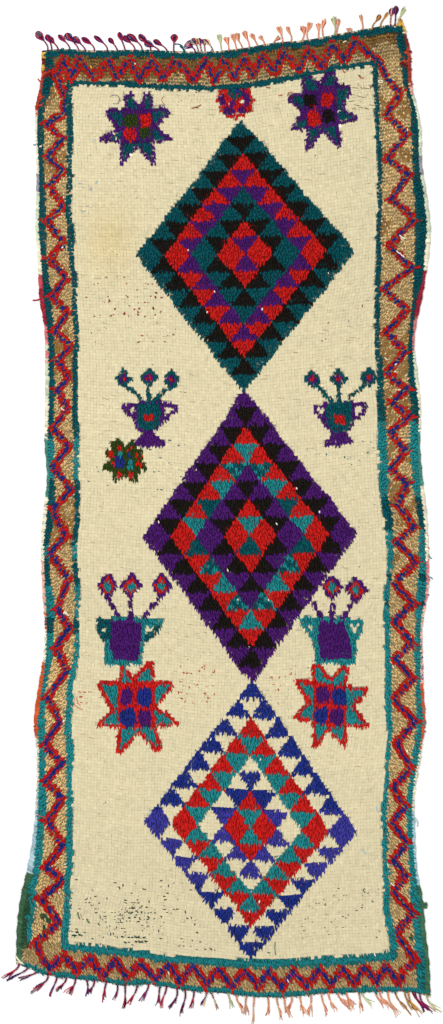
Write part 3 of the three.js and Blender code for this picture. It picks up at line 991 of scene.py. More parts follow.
isBrownish = holds("tan", "brown") & (legDown + rng.normal(0, 90, chart.shape) < roughDown)
isPair = isIvory[:, 0::2] & isIvory[:, 1::2]
isTuft = np.repeat(isPair, 2, axis=1) | isBrownish
pieceRows = np.array_split(np.arange(knots["rows"]), 5)


# Places a blade at each given spot: along its turn by the reach, and across it by the width.
def bladesAt(place, turn, reach, wide, height):
    along, aside = bladeAlong * reach[:, None], bladeAside * wide[:, None]
    return toFrame(
        place[:, :1] + along * turn[:, :1] + aside * turn[:, 1:],
        place[:, 1:] + along * turn[:, 1:] - aside * turn[:, :1],
        height,
    )


# A blade for each picked leg of the chart, brushed the way that leg leans.
def bladesOf(picked):
    count, kind = picked.sum(), chart[picked]
    wear = legDown[picked] / legDown.max()
    reach = reachOf[kind] * lerp(*blade["reach"], wear) * rng.uniform(0.8, 1.2, count)
    reach = reach * np.where(isTealish[picked], lerp(0.76, 0.95, wear), 1)
    wide = lerp(*blade["width"], wear) * rng.uniform(0.82, 1.16, count)
    wide = wide * np.where(isTealish[picked], lerp(1.3, 1.1, wear), 1)
    high = heightOf[kind] * rng.uniform(0.92, 1.1, count)
    place = np.stack([legAcross[picked], legDown[picked]], -1)
    turn = np.stack([leanRight[picked], leanBottom[picked]], -1)
    points = bladesAt(place, turn, reach, wide, bladeHeight * high[:, None])
    return points, legColours[picked][:, None] * bladePaintedShade[:, None]


# How the tan tufts differ: size across and down, unevenness, how far they stray from their row and
# how deep they stand, and the painted shade of their foot along the ends and the sides, and the painted
# light of their top.
rough = {"across": (0.72, 1.08), "down": (0.6, 0.92), "uneven": 0.16, "shift": 0.16, "deep": 3.4}
rough.update({"foot": (0.2, 0.5), "top": 1.04, "mottle": 0.1})


# Places the block once for each ivory knot and each tan leg, in the rows and columns of the
# pile. The tan ones are rougher, with painted shade at their foot that makes dark gaps between them.
def tuftsOf(rows):
    pairRows, pairs = np.nonzero(isPair[rows])
    roughRows, roughLegs = np.nonzero(isBrownish[rows])
    knotRows = rows[np.concatenate([pairRows, roughRows])]
    legs = np.concatenate([pairs * 2, roughLegs])
    count = len(legs)
    isRough = (np.arange(count) >= len(pairs))[:, None]
    middle = (legs[:, None] + np.where(isRough, 0.5, 1.0)) / knots["legsAcross"]
    stepAcross = np.where(isRough, 0.5, 1.0) / knots["legsAcross"]
    growAcross = np.where(isRough, rng.uniform(*rough["across"], (count, 1)), tuft["size"])
    growDown = np.where(isRough, rng.uniform(*rough["down"], (count, 1)), tuft["size"])
    spread = np.where(isRough, rough["uneven"], tuft["uneven"])[..., None]
    ring = tuftPoints[None, :, :2] + rng.normal(0, 1, (count, 9, 2)) * spread
    shiftRows = rng.normal(0, rough["shift"], (count, 1)) * isRough
    across, down = pilePlace(
        middle + ring[..., 0] * stepAcross * growAcross,
        (knotRows[:, None] + 0.5 + shiftRows + ring[..., 1] * 0.5 * growDown) / knots["rows"],
    )
    level = tuftPoints[None, :, 2] + rng.normal(0, 0.1, (count, 9))
    level = level * np.where(isRough, rough["deep"], 1)
    height = tuft["height"] * rng.uniform(0.97, 1.03, (count, 1)) + level
    height = height + isRough * rng.normal(0, 0.7, (count, 1))
    # Painted shade at the foot of each block: deep for the tan tufts, slight for the ivory and a little
    # deeper towards the top end; painted light on the tops of the tan tufts.
    foot = np.where(onSide[knotRows, legs], rough["foot"][1], rough["foot"][0])[:, None]
    tone = np.where(isRough, foot, lerp(0.93, 0.975, knotRows[:, None] / knots["rows"]))
    tone = np.where(tuftPoints[None, :, 2] < -1, tone, np.where(isRough, rough["top"], 1.0))
    tone = tone * (1 + isRough * rng.normal(0, rough["mottle"], (count, 1)))
    colours = legColours[knotRows, legs][:, None, :] * tone[..., None]
    return toFrame(across, down, height), colours


# Joins copies of a small shape into one run of points, colours and triangles.
def stacked(points, colours, faces):
    count, size = points.shape[:2]
    triangles = faces[None] + (np.arange(count) * size)[:, None, None]
    return points.reshape(-1, 3), colours.reshape(-1, 3), triangles.reshape(-1, 3)


# A piece of loose blades of one wool, a colour to each, with painted shade and light on their points
# unless other values are given.
def bladePiece(name, points, tones, material, paintedShades=bladePaintedShade):
    points, colours, faces = stacked(points, tones[:, None] * paintedShades[:, None], bladeFaces)
    return makePiece(
        name, points, faces, colours, material, cellCorners(len(tones), bladeCorners)
    )


for number, rows in enumerate(pieceRows):
    inRows = np.zeros(chart.shape, bool)
    inRows[rows] = True
    bladeParts = stacked(*bladesOf(inRows & ~isTuft), bladeFaces)
    tuftParts = stacked(*tuftsOf(rows), tuftFaces)
    bladeCount, tuftCount = len(bladeParts[0]) // 8, len(tuftParts[0]) // 9
    total = bladeCount + tuftCount
    corners = [
        cellCorners(bladeCount, bladeCorners, 0, total),
        cellCorners(tuftCount, tuftCorners, bladeCount, total),
    ]
    piece = makePiece(
        f"pile_part_{number + 1}",
        np.concatenate([bladeParts[0], tuftParts[0]]),
        np.concatenate([bladeParts[2], tuftParts[2] + len(bladeParts[0])]),
        np.concatenate([bladeParts[1], tuftParts[1]]),
        pileWool,
        np.concatenate(corners),
        np.arange(len(bladeParts[2]) + len(tuftParts[2])) < len(bladeParts[2]),
    )
    tied(piece, "rug_pile")
    print("pile part", number + 1, "blades", bladeCount, "tufts", tuftCount)

# The bands along the ends are packed tighter: more locks down the middle of each. Middle line,
# from and to across, spread, lean, yarn, its light (below 1 it is painted shade) and its reach.
bands = [
    (lerp(topInner, fieldTop, 0.5), -590, 560, 3.9, (0.85, 0.45), "teal", 1, 13),
    (topStop - 11, -686, 664, 3.9, (0.85, 0.45), "teal", 1, 13),
    (lerp(fieldBottom, bottomInner, 0.5), -612, 634, 3.6, (0.25, 0.95), "turquoise", 1, 20),
    (bottomStart + 6, -752, 760, 2.4, (0.25, 0.95), "turquoise", 0.76, 16),
]
bandLock = {"step": 3.4, "high": (9.4, 10.8), "wide": (6, 8.5)}
bandParts = []
for middle, left, right, spread, turn, yarn, light, reach in bands:
    row = 20 if yarn == "teal" else 280
    order = np.argsort(readAcross[row])
    across = np.arange(left, right, bandLock["step"])
    across = across + rng.normal(0, 1, len(across))
    down = np.interp(across, readAcross[row][order], middle[row][order])
    count = len(across)
    place = np.stack([across, down + rng.normal(0, spread, count)], -1)
    turns = np.array(turn) + rng.normal(0, 0.2, (count, 2))
    turns /= np.linalg.norm(turns, axis=1, keepdims=True)
    height = bladeHeight * rng.uniform(*bandLock["high"], (count, 1))
    reaches = reach * rng.uniform(0.8, 1.2, count)
    locks = bladesAt(place, turns, reaches, rng.uniform(*bandLock["wide"], count), height)
    tones = yarnColours[yarnNames.index(yarn)] * light * rng.uniform(0.82, 1.1, (count, 1))
    bandParts.append((locks, tones))
bandPoints, bandTones = (np.concatenate(part) for part in zip(*bandParts))
bandPiece = bladePiece("band_locks", bandPoints, bandTones, pileWool)
tied(bandPiece, "rug_pile")
print("band locks", len(bandTones))

# Fibres of other colours caught in the ivory, and thin darker dashes along its rows that are painted
# shade in the shallow valleys between rows: across from and to, down from and to, how many,
# their usual length and width, and how many rows they keep to (0 leaves them loose).
specks = [
    ((140, 36, 48), -440, -240, 985, 1085, 17, 12, 6, 0),
    ((150, 50, 60), -530, -170, 900, 1190, 60, 8, 4, 12),
    ((150, 50, 60), 300, 560, 900, 1200, 9, 9, 3, 0),
    ((120, 30, 40), 440, 560, 160, 230, 14, 9, 3, 0),
    ((120, 30, 40), -190, -80, 215, 300, 14, 8, 2, 5),
    # Painted shade: dark dashes along the rows near the top right.
    ((110, 84, 56), 440, 560, 160, 310, 46, 24, 2, 12),
    ((52, 84, 62), 280, 590, 3220, 3420, 50, 9, 3, 14),
    ((30, 100, 96), -560, -150, 1540, 1740, 34, 11, 4, 12),
    ((30, 100, 96), 360, 560, 1540, 1680, 9, 9, 4, 0),
    ((190, 60, 40), -180, -40, 2390, 2530, 38, 11, 4, 0),
    ((190, 60, 40), 150, 290, 2390, 2560, 16, 11, 4, 0),
    ((190, 70, 50), -560, -450, 2480, 2540, 12, 14, 3, 3),
    ((110, 130, 110), 300, 560, 2340, 2500, 8, 9, 3, 0),
    ((90, 110, 130), -560, 560, 300, 3400, 130, 6, 3, 0),
    ((150, 180, 190), -560, -480, 300, 700, 12, 14, 4, 0),
    ((36, 68, 58), -580, -528, 3384, 3408, 11, 14, 6, 2),
    ((36, 68, 58), -392, -298, 3402, 3432, 26, 13, 5, 2),
    ((36, 68, 58), -370, -290, 3290, 3360, 20, 10, 5, 4),
    ((36, 68, 58), -190, -20, 3436, 3462, 10, 10, 4, 2),
    # Painted shade: faint dashes along the rows all over the field.
    ((178, 160, 120), -560, 560, 250, 2300, 330, 30, 1.6, 168),
    ((178, 160, 120), -560, 560, 2300, 3400, 90, 24, 1.6, 90),
]
speckAcross, speckDown, speckSize, speckColour, speckAngle = [], [], [], [], []
for colour, left, right, top, bottom, count, usual, wide, rowCount in specks:
    down = rng.uniform(top, bottom, count)
    if rowCount:
        step = (bottom - top) / rowCount
        down = top + (np.floor((down - top) / step) + 0.5) * step + rng.normal(0, 2, count)
    speckAcross.append(rng.uniform(left, right, count))
    speckDown.append(down)
    sizes = rng.uniform(0.5, 1.3, (count, 1)) * [usual, wide]
    speckSize.append(sizes)
    speckColour.append(np.repeat(toLinear(colour)[None], count, axis=0))
    speckAngle.append(rng.normal(0.1 if rowCount else 0.5, 0.12 if rowCount else 0.9, count))
# Dark green yarn shows between the knots near the bottom left: dashes along rows and columns,
# thickest about one place.
network = {"left": -600, "right": -95, "top": 3195, "bottom": 3445, "step": 12.2}
netAcross, netDown = np.meshgrid(
    np.arange(network["left"], network["right"], network["step"]),
    np.arange(network["top"], network["bottom"], network["step"]),
)
thick = 0.10 + 0.5 * np.exp(-(((netAcross + 375) / 105) ** 2) - ((netDown - 3325) / 62) ** 2)
thick = thick * (0.6 + 0.6 * np.sin(netAcross / 23 + 1) * np.sin(netDown / 31))
for isUpright in (False, True):
    chosen = rng.random(netAcross.shape) < thick * (0.6 if isUpright else 1.0)
    count = chosen.sum()
    half = network["step"] / 2
    speckAcross.append(netAcross[chosen] + half * isUpright + rng.normal(0, 1.2, count))
    speckDown.append(netDown[chosen] + half * isUpright + rng.normal(0, 1.2, count))
    speckSize.append(rng.uniform(0.6, 1.5, (count, 1)) * [10, 3.3])
    speckColour.append(np.repeat(toLinear((36, 68, 58))[None], count, axis=0))
    speckAngle.append(rng.normal(math.pi / 2 * isUpright, 0.15, count))
speckAcross, speckDown = np.concatenate(speckAcross), np.concatenate(speckDown)
speckSize, speckColour = np.concatenate(speckSize), np.concatenate(speckColour)
speckAngle = np.concatenate(speckAngle)
nearRow = np.clip((speckDown - 90) / 3500 * knots["rows"], 0, knots["rows"] - 1).astype(int)
nearLeg = np.argmin(abs(legAcross[nearRow] - speckAcross[:, None]), axis=1)
isClear = isIvory[nearRow, nearLeg]
speckAcross, speckDown = speckAcross[isClear], speckDown[isClear]
speckSize, speckColour, speckAngle = speckSize[isClear], speckColour[isClear], speckAngle[isClear]
count = len(speckAcross)
specksPiece = bladePiece(
    "stray_fibres_and_row_shade",
    bladesAt(
        np.stack([speckAcross, speckDown], -1),
        np.stack([np.cos(speckAngle), np.sin(speckAngle)], -1),
        speckSize[:, 0],
        speckSize[:, 1],
        7.0 + bladeHeight * rng.uniform(1.8, 2.4, (count, 1)),
    ),
    speckColour,
    pileWool,
    np.ones(8),
)
tied(specksPiece, "rug_pile")
print("stray fibres", count)

# The woven ground cloth under the pile.
cloth = {"cellsAcross": 58, "cellsAlong": 143, "thickness": 6.0, "inset": 0.4}

# A thin slab: its top and its foot are the same grid of places, joined round the rim.
gridShare, gridAlong = np.meshgrid(
    np.linspace(0, 1, cloth["cellsAcross"] + 1), np.linspace(0, 1, cloth["cellsAlong"] + 1)
)
gridAcross, gridDown = pilePlace(gridShare, gridAlong)
gridAcross = gridAcross - np.sign(gridShare - 0.5) * cloth["inset"] * (abs(gridShare - 0.5) > 0.499)
gridDown = gridDown - np.sign(gridAlong - 0.5) * cloth["inset"] * (abs(gridAlong - 0.5) > 0.499)
rowsIn = np.clip((gridAlong * knots["rows"]).astype(int), 0, knots["rows"] - 1)
legsIn = np.clip((gridShare * knots["legsAcross"]).astype(int), 0, knots["legsAcross"] - 1)
# Its colour is painted shade: the colour of the yarn above each place, darkened, for the gaps
# between the locks. Under the border it takes the tan yarn's shadow all over.
paintedGroundShade = np.full(chart.shape, 0.62)
paintedGroundShade[isIvory] = 0.9
paintedGroundShade = np.where(isGround, lerp(np.where(onSide, 0.5, 0.3), 0.62, legDown / 3600), paintedGroundShade)
# The painted shade is deepest under the rough brown tufts.
isDeep = holds("brown") & (legDown < roughDown)
paintedGroundShade = np.where(isDeep, np.where(onSide, 0.3, 0.1), paintedGroundShade)
shadowOf = np.where(isGround[..., None], yarnColours[yarnNames.index("tan")], legColours)
clothShadeColours = shadowOf[rowsIn, legsIn] * paintedGroundShade[rowsIn, legsIn][..., None]
topPoints = toFrame(gridAcross, gridDown, np.full(gridDown.shape, cloth["thickness"]))
footPoints = toFrame(gridAcross, gridDown, np.zeros(gridDown.shape))
index = np.arange(gridDown.size).reshape(gridDown.shape)
quads = np.stack([index[:-1, :-1], index[1:, :-1], index[1:, 1:], index[:-1, 1:]], -1)
rim = np.concatenate([index[0, :-1], index[:-1, -1], index[-1, :0:-1], index[:0:-1, 0]])
rimNext = np.roll(rim, -1)
rimQuads = np.stack([rim, rimNext, rimNext + gridDown.size, rim + gridDown.size], -1)
clothFaces = np.concatenate(
    [quads.reshape(-1, 4), quads.reshape(-1, 4)[:, ::-1] + gridDown.size, rimQuads]
)
# In its map the top lies left of the foot, and the rim is a strip at the right.
flatCorners = np.stack([gridShare, gridAlong], -1).reshape(-1, 2) * [0.48, 0.98]
rimAcross = np.tile([0.985, 0.985, 1, 1], (len(rimQuads), 1))
rimAlong = (np.arange(len(rimQuads))[:, None] + np.array([[0, 1, 1, 0]])) / len(rimQuads)
clothCorners = np.concatenate(
    [
        flatCorners[quads.reshape(-1, 4)],
        flatCorners[quads.reshape(-1, 4)[:, ::-1]] + [0.5, 0],
        np.stack([rimAcross, rimAlong], -1),
    ]
)
groundCloth = makePiece(
    "ground_cloth",
    np.concatenate([topPoints.reshape(-1, 3), footPoints.reshape(-1, 3)]),
    clothFaces,
    np.concatenate([clothShadeColours.reshape(-1, 3)] * 2),
    clothWool,
    clothCorners,
)
tied(groundCloth, "rug_pile")
print("ground cloth laid")

# Leftover yarns that overcast the rug's two sides.
cordYarns = {
    "yellow": (214, 172, 70),
    "brick": (168, 62, 46),
    "rust": (120, 44, 34),
    "pinkish": (224, 172, 150),
    "cream": (232, 224, 196),
    "grey": (150, 144, 152),
    "creamGreen": (206, 214, 186),
    "rose": (190, 74, 82),
    "wine": (152, 36, 52),
    "pink": (216, 124, 126),
    "seaGreen": (74, 134, 118),
    "orange": (202, 88, 44),
    "blueGrey": (166, 194, 202),
    "bottle": (66, 104, 74),
}
# How far down each yarn of a cord starts.
leftCord = [
    (60, "yellow"), (112, "rust"), (135, "yellow"), (157, "brick"), (319, "pinkish"),
    (338, "cream"), (555, "grey"), (615, "creamGreen"), (806, "cream"), (926, "rose"),
    (982, "wine"), (1114, "pink"), (1189, "creamGreen"), (1211, "pink"), (1249, "creamGreen"),
    (1402, "cream"), (1534, "seaGreen"), (1759, "cream"), (1995, "pinkish"), (2201, "orange"),
    (2250, "cream"), (2374, "orange"), (2662, "cream"), (2857, "blueGrey"), (3169, "bottle"),
    (3495, "cream"),
]
rightCord = [
    (-30, "yellow"), (22, "rust"), (72, "brick"), (214, "pinkish"), (256, "creamGreen"),
    (484, "grey"), (551, "creamGreen"), (776, "cream"), (911, "wine"), (1084, "pink"),
    (1215, "creamGreen"), (1331, "cream"), (1507, "seaGreen"), (1714, "cream"), (1995, "pink"),
    (2164, "pinkish"), (2464, "orange"), (2700, "cream"), (2940, "blueGrey"), (3214, "bottle"),
]
cord = {"height": 9.0, "turns": 640, "sides": 8, "slant": 5.0, "groove": 0.16}


# The colour of the last run of yarn that starts above each place.
def runColours(runs, down):
    starts = np.array([start for start, yarn in runs], float)
    colours = toLinear([cordYarns[yarn] for start, yarn in runs])
    return colours[np.clip(np.searchsorted(starts, down) - 1, 0, len(runs) - 1)]


# A cord is a ring of points carried from end to end: flat underneath, rounded above, with a
# ridge for each turn of yarn that leans over its width.
def makeCord(edge, runs):
    rings = cord["turns"] * 2 + 1
    along = np.linspace(0, 1, rings)[:, None]
    angle = (np.arange(cord["sides"])[None] + 0.5) / cord["sides"] * 2 * math.pi
    aside = np.cos(angle) / math.cos(math.pi / cord["sides"])
    level = np.clip((np.sin(angle) / math.cos(math.pi / cord["sides"]) + 1) / 2, 0, 1)
    isRidge = (np.arange(rings) % 2)[:, None]
    outerShare = 0.0 if edge == "left" else 1.0
    outer, outerDown, _ = rugPlace(outerShare, along)
    innerAcross, innerDown, _ = rugPlace(pileEdge(edge, along), along)
    inward = 1 if edge == "left" else -1
    lumpy = 1.2 * np.sin(along * 431) + rng.normal(0, 0.8, along.shape)
    part = np.clip(aside * inward / 2 + 0.5, 0, 1)
    across = lerp(outer - inward * lumpy, innerAcross - inward * 0.3, part)
    down = lerp(outerDown, innerDown, part)
    slant = cord["slant"] * (part - 0.5) * (1 - (along < 0.004) - (along > 0.996))
    grooved = 1 - cord["groove"] * (1 - isRidge)
    across = lerp(across, lerp(outer, innerAcross, 0.5), 0.1 * (1 - isRidge))
    height = level * cord["height"] * grooved
    points = toFrame(across, down + slant, height)
    colours = runColours(runs, down + 8 * np.sin(along * 900)) * (
        1 + rng.normal(0, 0.10, (rings, 1, 1))
    )
    mottle = np.repeat(rng.normal(1, 0.12, rings // 4 + 1), 4)[:rings, None, None]
    # The grooves between the turns of yarn get painted shade: 0.7 of the ridges' colour.
    colours = colours * (0.7 + 0.3 * isRidge[..., None]) * mottle
    index = np.arange(rings * cord["sides"]).reshape(rings, cord["sides"])
    quads = ringWalls(index).reshape(-1, 4)
    first = np.stack([index[0, [0, 1, 2, 3]], index[0, [0, 3, 4, 7]], index[0, [4, 5, 6, 7]]])
    last = np.stack([index[-1, [3, 2, 1, 0]], index[-1, [7, 4, 3, 0]], index[-1, [7, 6, 5, 4]]])
    faces = np.concatenate([quads, first[:, ::-1], last[:, ::-1]])
    piece = makePiece(
        f"cord_{edge}", points.reshape(-1, 3), faces, colours.reshape(-1, 3), cordWool
    )
    return tied(piece, f"selvedge_{edge}")


cordPieces = [makeCord("left", leftCord), makeCord("right", rightCord)]
print("side cords wound")

# Ends of yarn that stand out from the cords: down from and to, reach and yarns.
anyYarn = {**yarns, **cordYarns}
leftFrays = [
    (139, 315, 15, "rust brick darkRed"), (800, 926, 7, "cream"), (945, 1095, 11, "wine rose"),
    (1110, 1190, 9, "pink"), (1250, 1390, 8, "creamGreen"), (1760, 1990, 9, "cream teal"),
    (1995, 2200, 10, "pinkish cream"), (2370, 2650, 13, "orange brick"), (2650, 2990, 13, "cream"),
    (3172, 3485, 12, "bottle teal"),
]
rightFrays = [
    (75, 215, 19, "brick rust darkRed"), (964, 1076, 12, "wine"), (1095, 1215, 9, "pink pinkish"),
    (1340, 1500, 8, "cream"), (1882, 2145, 16, "pink cream turquoise"), (2180, 2290, 10, "cream"),
    (2295, 2470, 12, "cream purple"), (2480, 2650, 18, "orange turquoise"),
    (2650, 2858, 17, "cream"), (3214, 3570, 11, "bottle turquoise"),
]


fray = {"step": 4.2, "wide": (4, 6.5), "high": (8.6, 10.8)}


# Short blades rooted in a cord's width that lean out over its edge, at random places within each
# stretch and one to each step of its length.
def frayCord(edge, frays):
    outward = -1 if edge == "left" else 1
    low, high, reach = (np.array([row[k] for row in frays], float) for k in range(3))
    counts = ((high - low) / fray["step"]).astype(int)
    stretch = np.repeat(np.arange(len(frays)), counts)
    count = len(stretch)
    down = rng.uniform(low[stretch], high[stretch])
    width = readTable(sides, "down", edge + "Cord", down) * rng.uniform(0.25, 0.9, count)
    across = readTable(sides, "down", edge, down) - outward * width
    angle = rng.normal(0.25, 0.5, count)
    droop = np.array([1, 1, 1, 1, 0.9, 0.9, 1, 0.5])  # the tip hangs down
    height = bladeHeight * rng.uniform(*fray["high"], (count, 1)) * droop
    choices = [rng.choice(row[3].split(), number) for row, number in zip(frays, counts)]
    tones = toLinear([anyYarn[name] for name in np.concatenate(choices)])
    piece = bladePiece(
        f"cord_ends_{edge}",
        bladesAt(
            np.stack([across, down], -1),
            np.stack([outward * np.cos(angle), np.sin(angle)], -1),
            reach[stretch] * rng.uniform(0.6, 1.25, count),
            rng.uniform(*fray["wide"], count),
            height,
        ),
        tones * rng.uniform(0.7, 1.2, (count, 1)),
        cordWool,
    )
    print("cord ends frayed:", count)
    return tied(piece, f"selvedge_{edge}")


cordPieces += [frayCord("left", leftFrays), frayCord("right", rightFrays)]

# Yarns of the tassels.
fringeYarns = {
    "crimson": (184, 34, 58),
    "plum": (92, 22, 52),
    "navy": (46, 42, 108),
    "paleGreen": (178, 190, 146),
    "paleStraw": (210, 200, 154),
    "peach": (220, 168, 132),
    "salmon": (208, 110, 82),
    "gold": (196, 150, 74),
    "rust": (150, 84, 54),
}
# The yarns twisted together in a tassel of each kind.
tasselMixes = {
    "maroon": ("crimson", "navy", "plum"),
    "mixed": ("crimson", "navy", "paleStraw"),
    "paleGreen": ("paleGreen", "paleStraw", "paleGreen"),
    "peach": ("peach", "salmon", "peach"),
    "gold": ("gold", "rust", "gold"),
    "violet": ("plum", "navy", "crimson"),
}
# The tassels from the left, in runs of one kind: where each is rooted, how far its end lies to the
# right of its root and out from the cloth, and half its head's width.
topTassels = [
    ("maroon", [(-670, -40, 72, 14), (-654, -21, 58, 11), (-629, -36, 48, 10),
        (-587, -42, 56, 8), (-554, -44, 65, 13), (-527, -48, 51, 11), (-495, -46, 50, 9),
        (-447, -48, 56, 8), (-408, -32, 48, 8), (-379, -23, 69, 8), (-343, -42, 55, 11),
        (-316, -54, 60, 12), (-285, -42, 60, 11), (-254, -52, 34, 11), (-222, -50, 43, 9),
        (-197, 2, 66, 13), (-118, -32, 38, 17)]),
    ("mixed", [(-104, -24, 52, 14), (-92, -13, 53, 11), (-80, -6, 50, 9), (-50, -30, 48, 8)]),
    ("paleGreen", [(-18, -10, 60, 10)]),
    ("peach", [(8, -9, 50, 11), (38, -14, 56, 10), (62, -18, 56, 9), (85, -17, 62, 10),
        (120, -25, 46, 10), (142, -15, 34, 9), (177, 21, 25, 8), (210, -12, 58, 11),
        (240, -10, 57, 8), (280, 5, 56, 14), (308, 6, 64, 11), (345, -1, 55, 8), (364, 5, 67, 9)]),
    ("paleGreen", [(402, 0, 68, 11)]),
    ("peach", [(413, 7, 56, 8), (456, 0, 18, 8), (470, -4, 14, 7), (511, -6, 57, 7)]),
    ("gold", [(547, 28, 53, 7), (577, 27, 55, 5)]),
    ("mixed", [(615, 7, 66, 9)]),
    ("maroon", [(631, 5, 74, 9)]),
    ("gold", [(640, 14, 26, 9)]),
    ("paleGreen", [(648, 19, 68, 10)]),
]
bottomTassels = [
    ("maroon", [(-777, -61, 59, 9), (-744, -80, 50, 6), (-712, -66, 34, 8), (-669, -61, 71, 7),
        (-634, -26, 76, 4), (-599, -34, 58, 8), (-566, -25, 63, 14), (-526, 2, 67, 6),
        (-494, -28, 64, 7), (-449, -9, 80, 7), (-409, -9, 62, 7), (-379, -5, 89, 5),
        (-334, -38, 89, 6), (-290, -30, 70, 12), (-247, -14, 82, 6), (-224, -21, 84, 6),
        (-187, -26, 78, 6), (-156, -14, 98, 6), (-121, -12, 71, 8)]),
    ("mixed", [(-76, -12, 57, 10), (-55, 23, 68, 5)]),
    ("paleGreen", [(6, 19, 57, 10)]),
    ("peach", [(43, 19, 74, 8), (78, -5, 74, 10), (106, -7, 106, 5), (156, -2, 76, 7),
        (188, 19, 88, 6), (221, 19, 82, 16), (242, -16, 64, 8), (277, 21, 78, 13),
        (317, -6, 86, 14), (357, 19, 90, 7), (383, 30, 72, 13), (420, 56, 67, 15),
        (449, 25, 60, 12), (495, 16, 80, 9)]),
    ("paleGreen", [(510, 47, 60, 11)]),
    ("peach", [(559, 38, 60, 9), (577, 38, 68, 10), (608, 40, 96, 9)]),
    ("gold", [(634, 59, 91, 8), (669, 34, 69, 8), (683, 45, 94, 9)]),
    ("violet", [(697, 49, 78, 6), (709, 47, 71, 6), (727, 49, 78, 8)]),
    ("paleGreen", [(751, 52, 68, 12)]),
]
tassel = {"yarn": (1.6, 2.0), "stalk": (0.58, 0.36), "threads": (9, 8), "twists": 3.0, "sway": 6.0}
flared = ("peach", "paleGreen")  # brushes rather than bulbs
weave = {"width": 8, "height": 3, "steps": 360}


# A cubic curve from four points for each strand, at the given shares of its run.
def routes(controls, at):
    at = np.broadcast_to(at, (len(controls), np.shape(at)[-1]))[..., None]
    a, b, c, d = (controls[:, k, None, :] for k in range(4))
    return a * (1 - at) ** 3 + 3 * b * at * (1 - at) ** 2 + 3 * c * at**2 * (1 - at) + d * at**3


# Tubes round many lines at once: a ring of points square to each line at each of its steps.
def tubes(lines, radii, sides):
    count, steps = lines.shape[:2]
    ahead = np.gradient(lines, axis=1)
    ahead /= np.linalg.norm(ahead, axis=-1, keepdims=True) + 1e-9
    aside = np.cross(ahead, [0, 0, 1.0])
    aside /= np.linalg.norm(aside, axis=-1, keepdims=True) + 1e-9
    above = np.cross(aside, ahead)
    angle = (np.arange(sides) + 0.5) / sides * 2 * math.pi
    ring = (
        np.cos(angle)[:, None] * aside[:, :, None, :] + np.sin(angle)[:, None] * above[:, :, None, :]
    )
    points = lines[:, :, None, :] + ring * radii[:, :, None, None]
    index = np.arange(count * steps * sides).reshape(count, steps, sides)
    quads = ringWalls(index).reshape(-1, 4)
    walls = np.concatenate([quads[:, :3], quads[:, [0, 2, 3]]])
    caps = []
    for step, isTurned in ((0, True), (-1, False)):
        for k in range(1, sides - 1):
            cap = np.stack([index[:, step, 0], index[:, step, k], index[:, step, k + 1]], -1)
            caps.append(cap[:, ::-1] if isTurned else cap)
    return points.reshape(-1, 3), np.concatenate([walls] + caps)


# Joins several sets of points, triangles and colours.
def gathered(parts):
    offset, points, triangles, colours = 0, [], [], []
    for partPoints, partTriangles, partColours in parts:
        points.append(partPoints)
        triangles.append(partTriangles + offset)
        colours.append(partColours)
        offset += len(partPoints)
    return np.concatenate(points), np.concatenate(triangles), np.concatenate(colours)


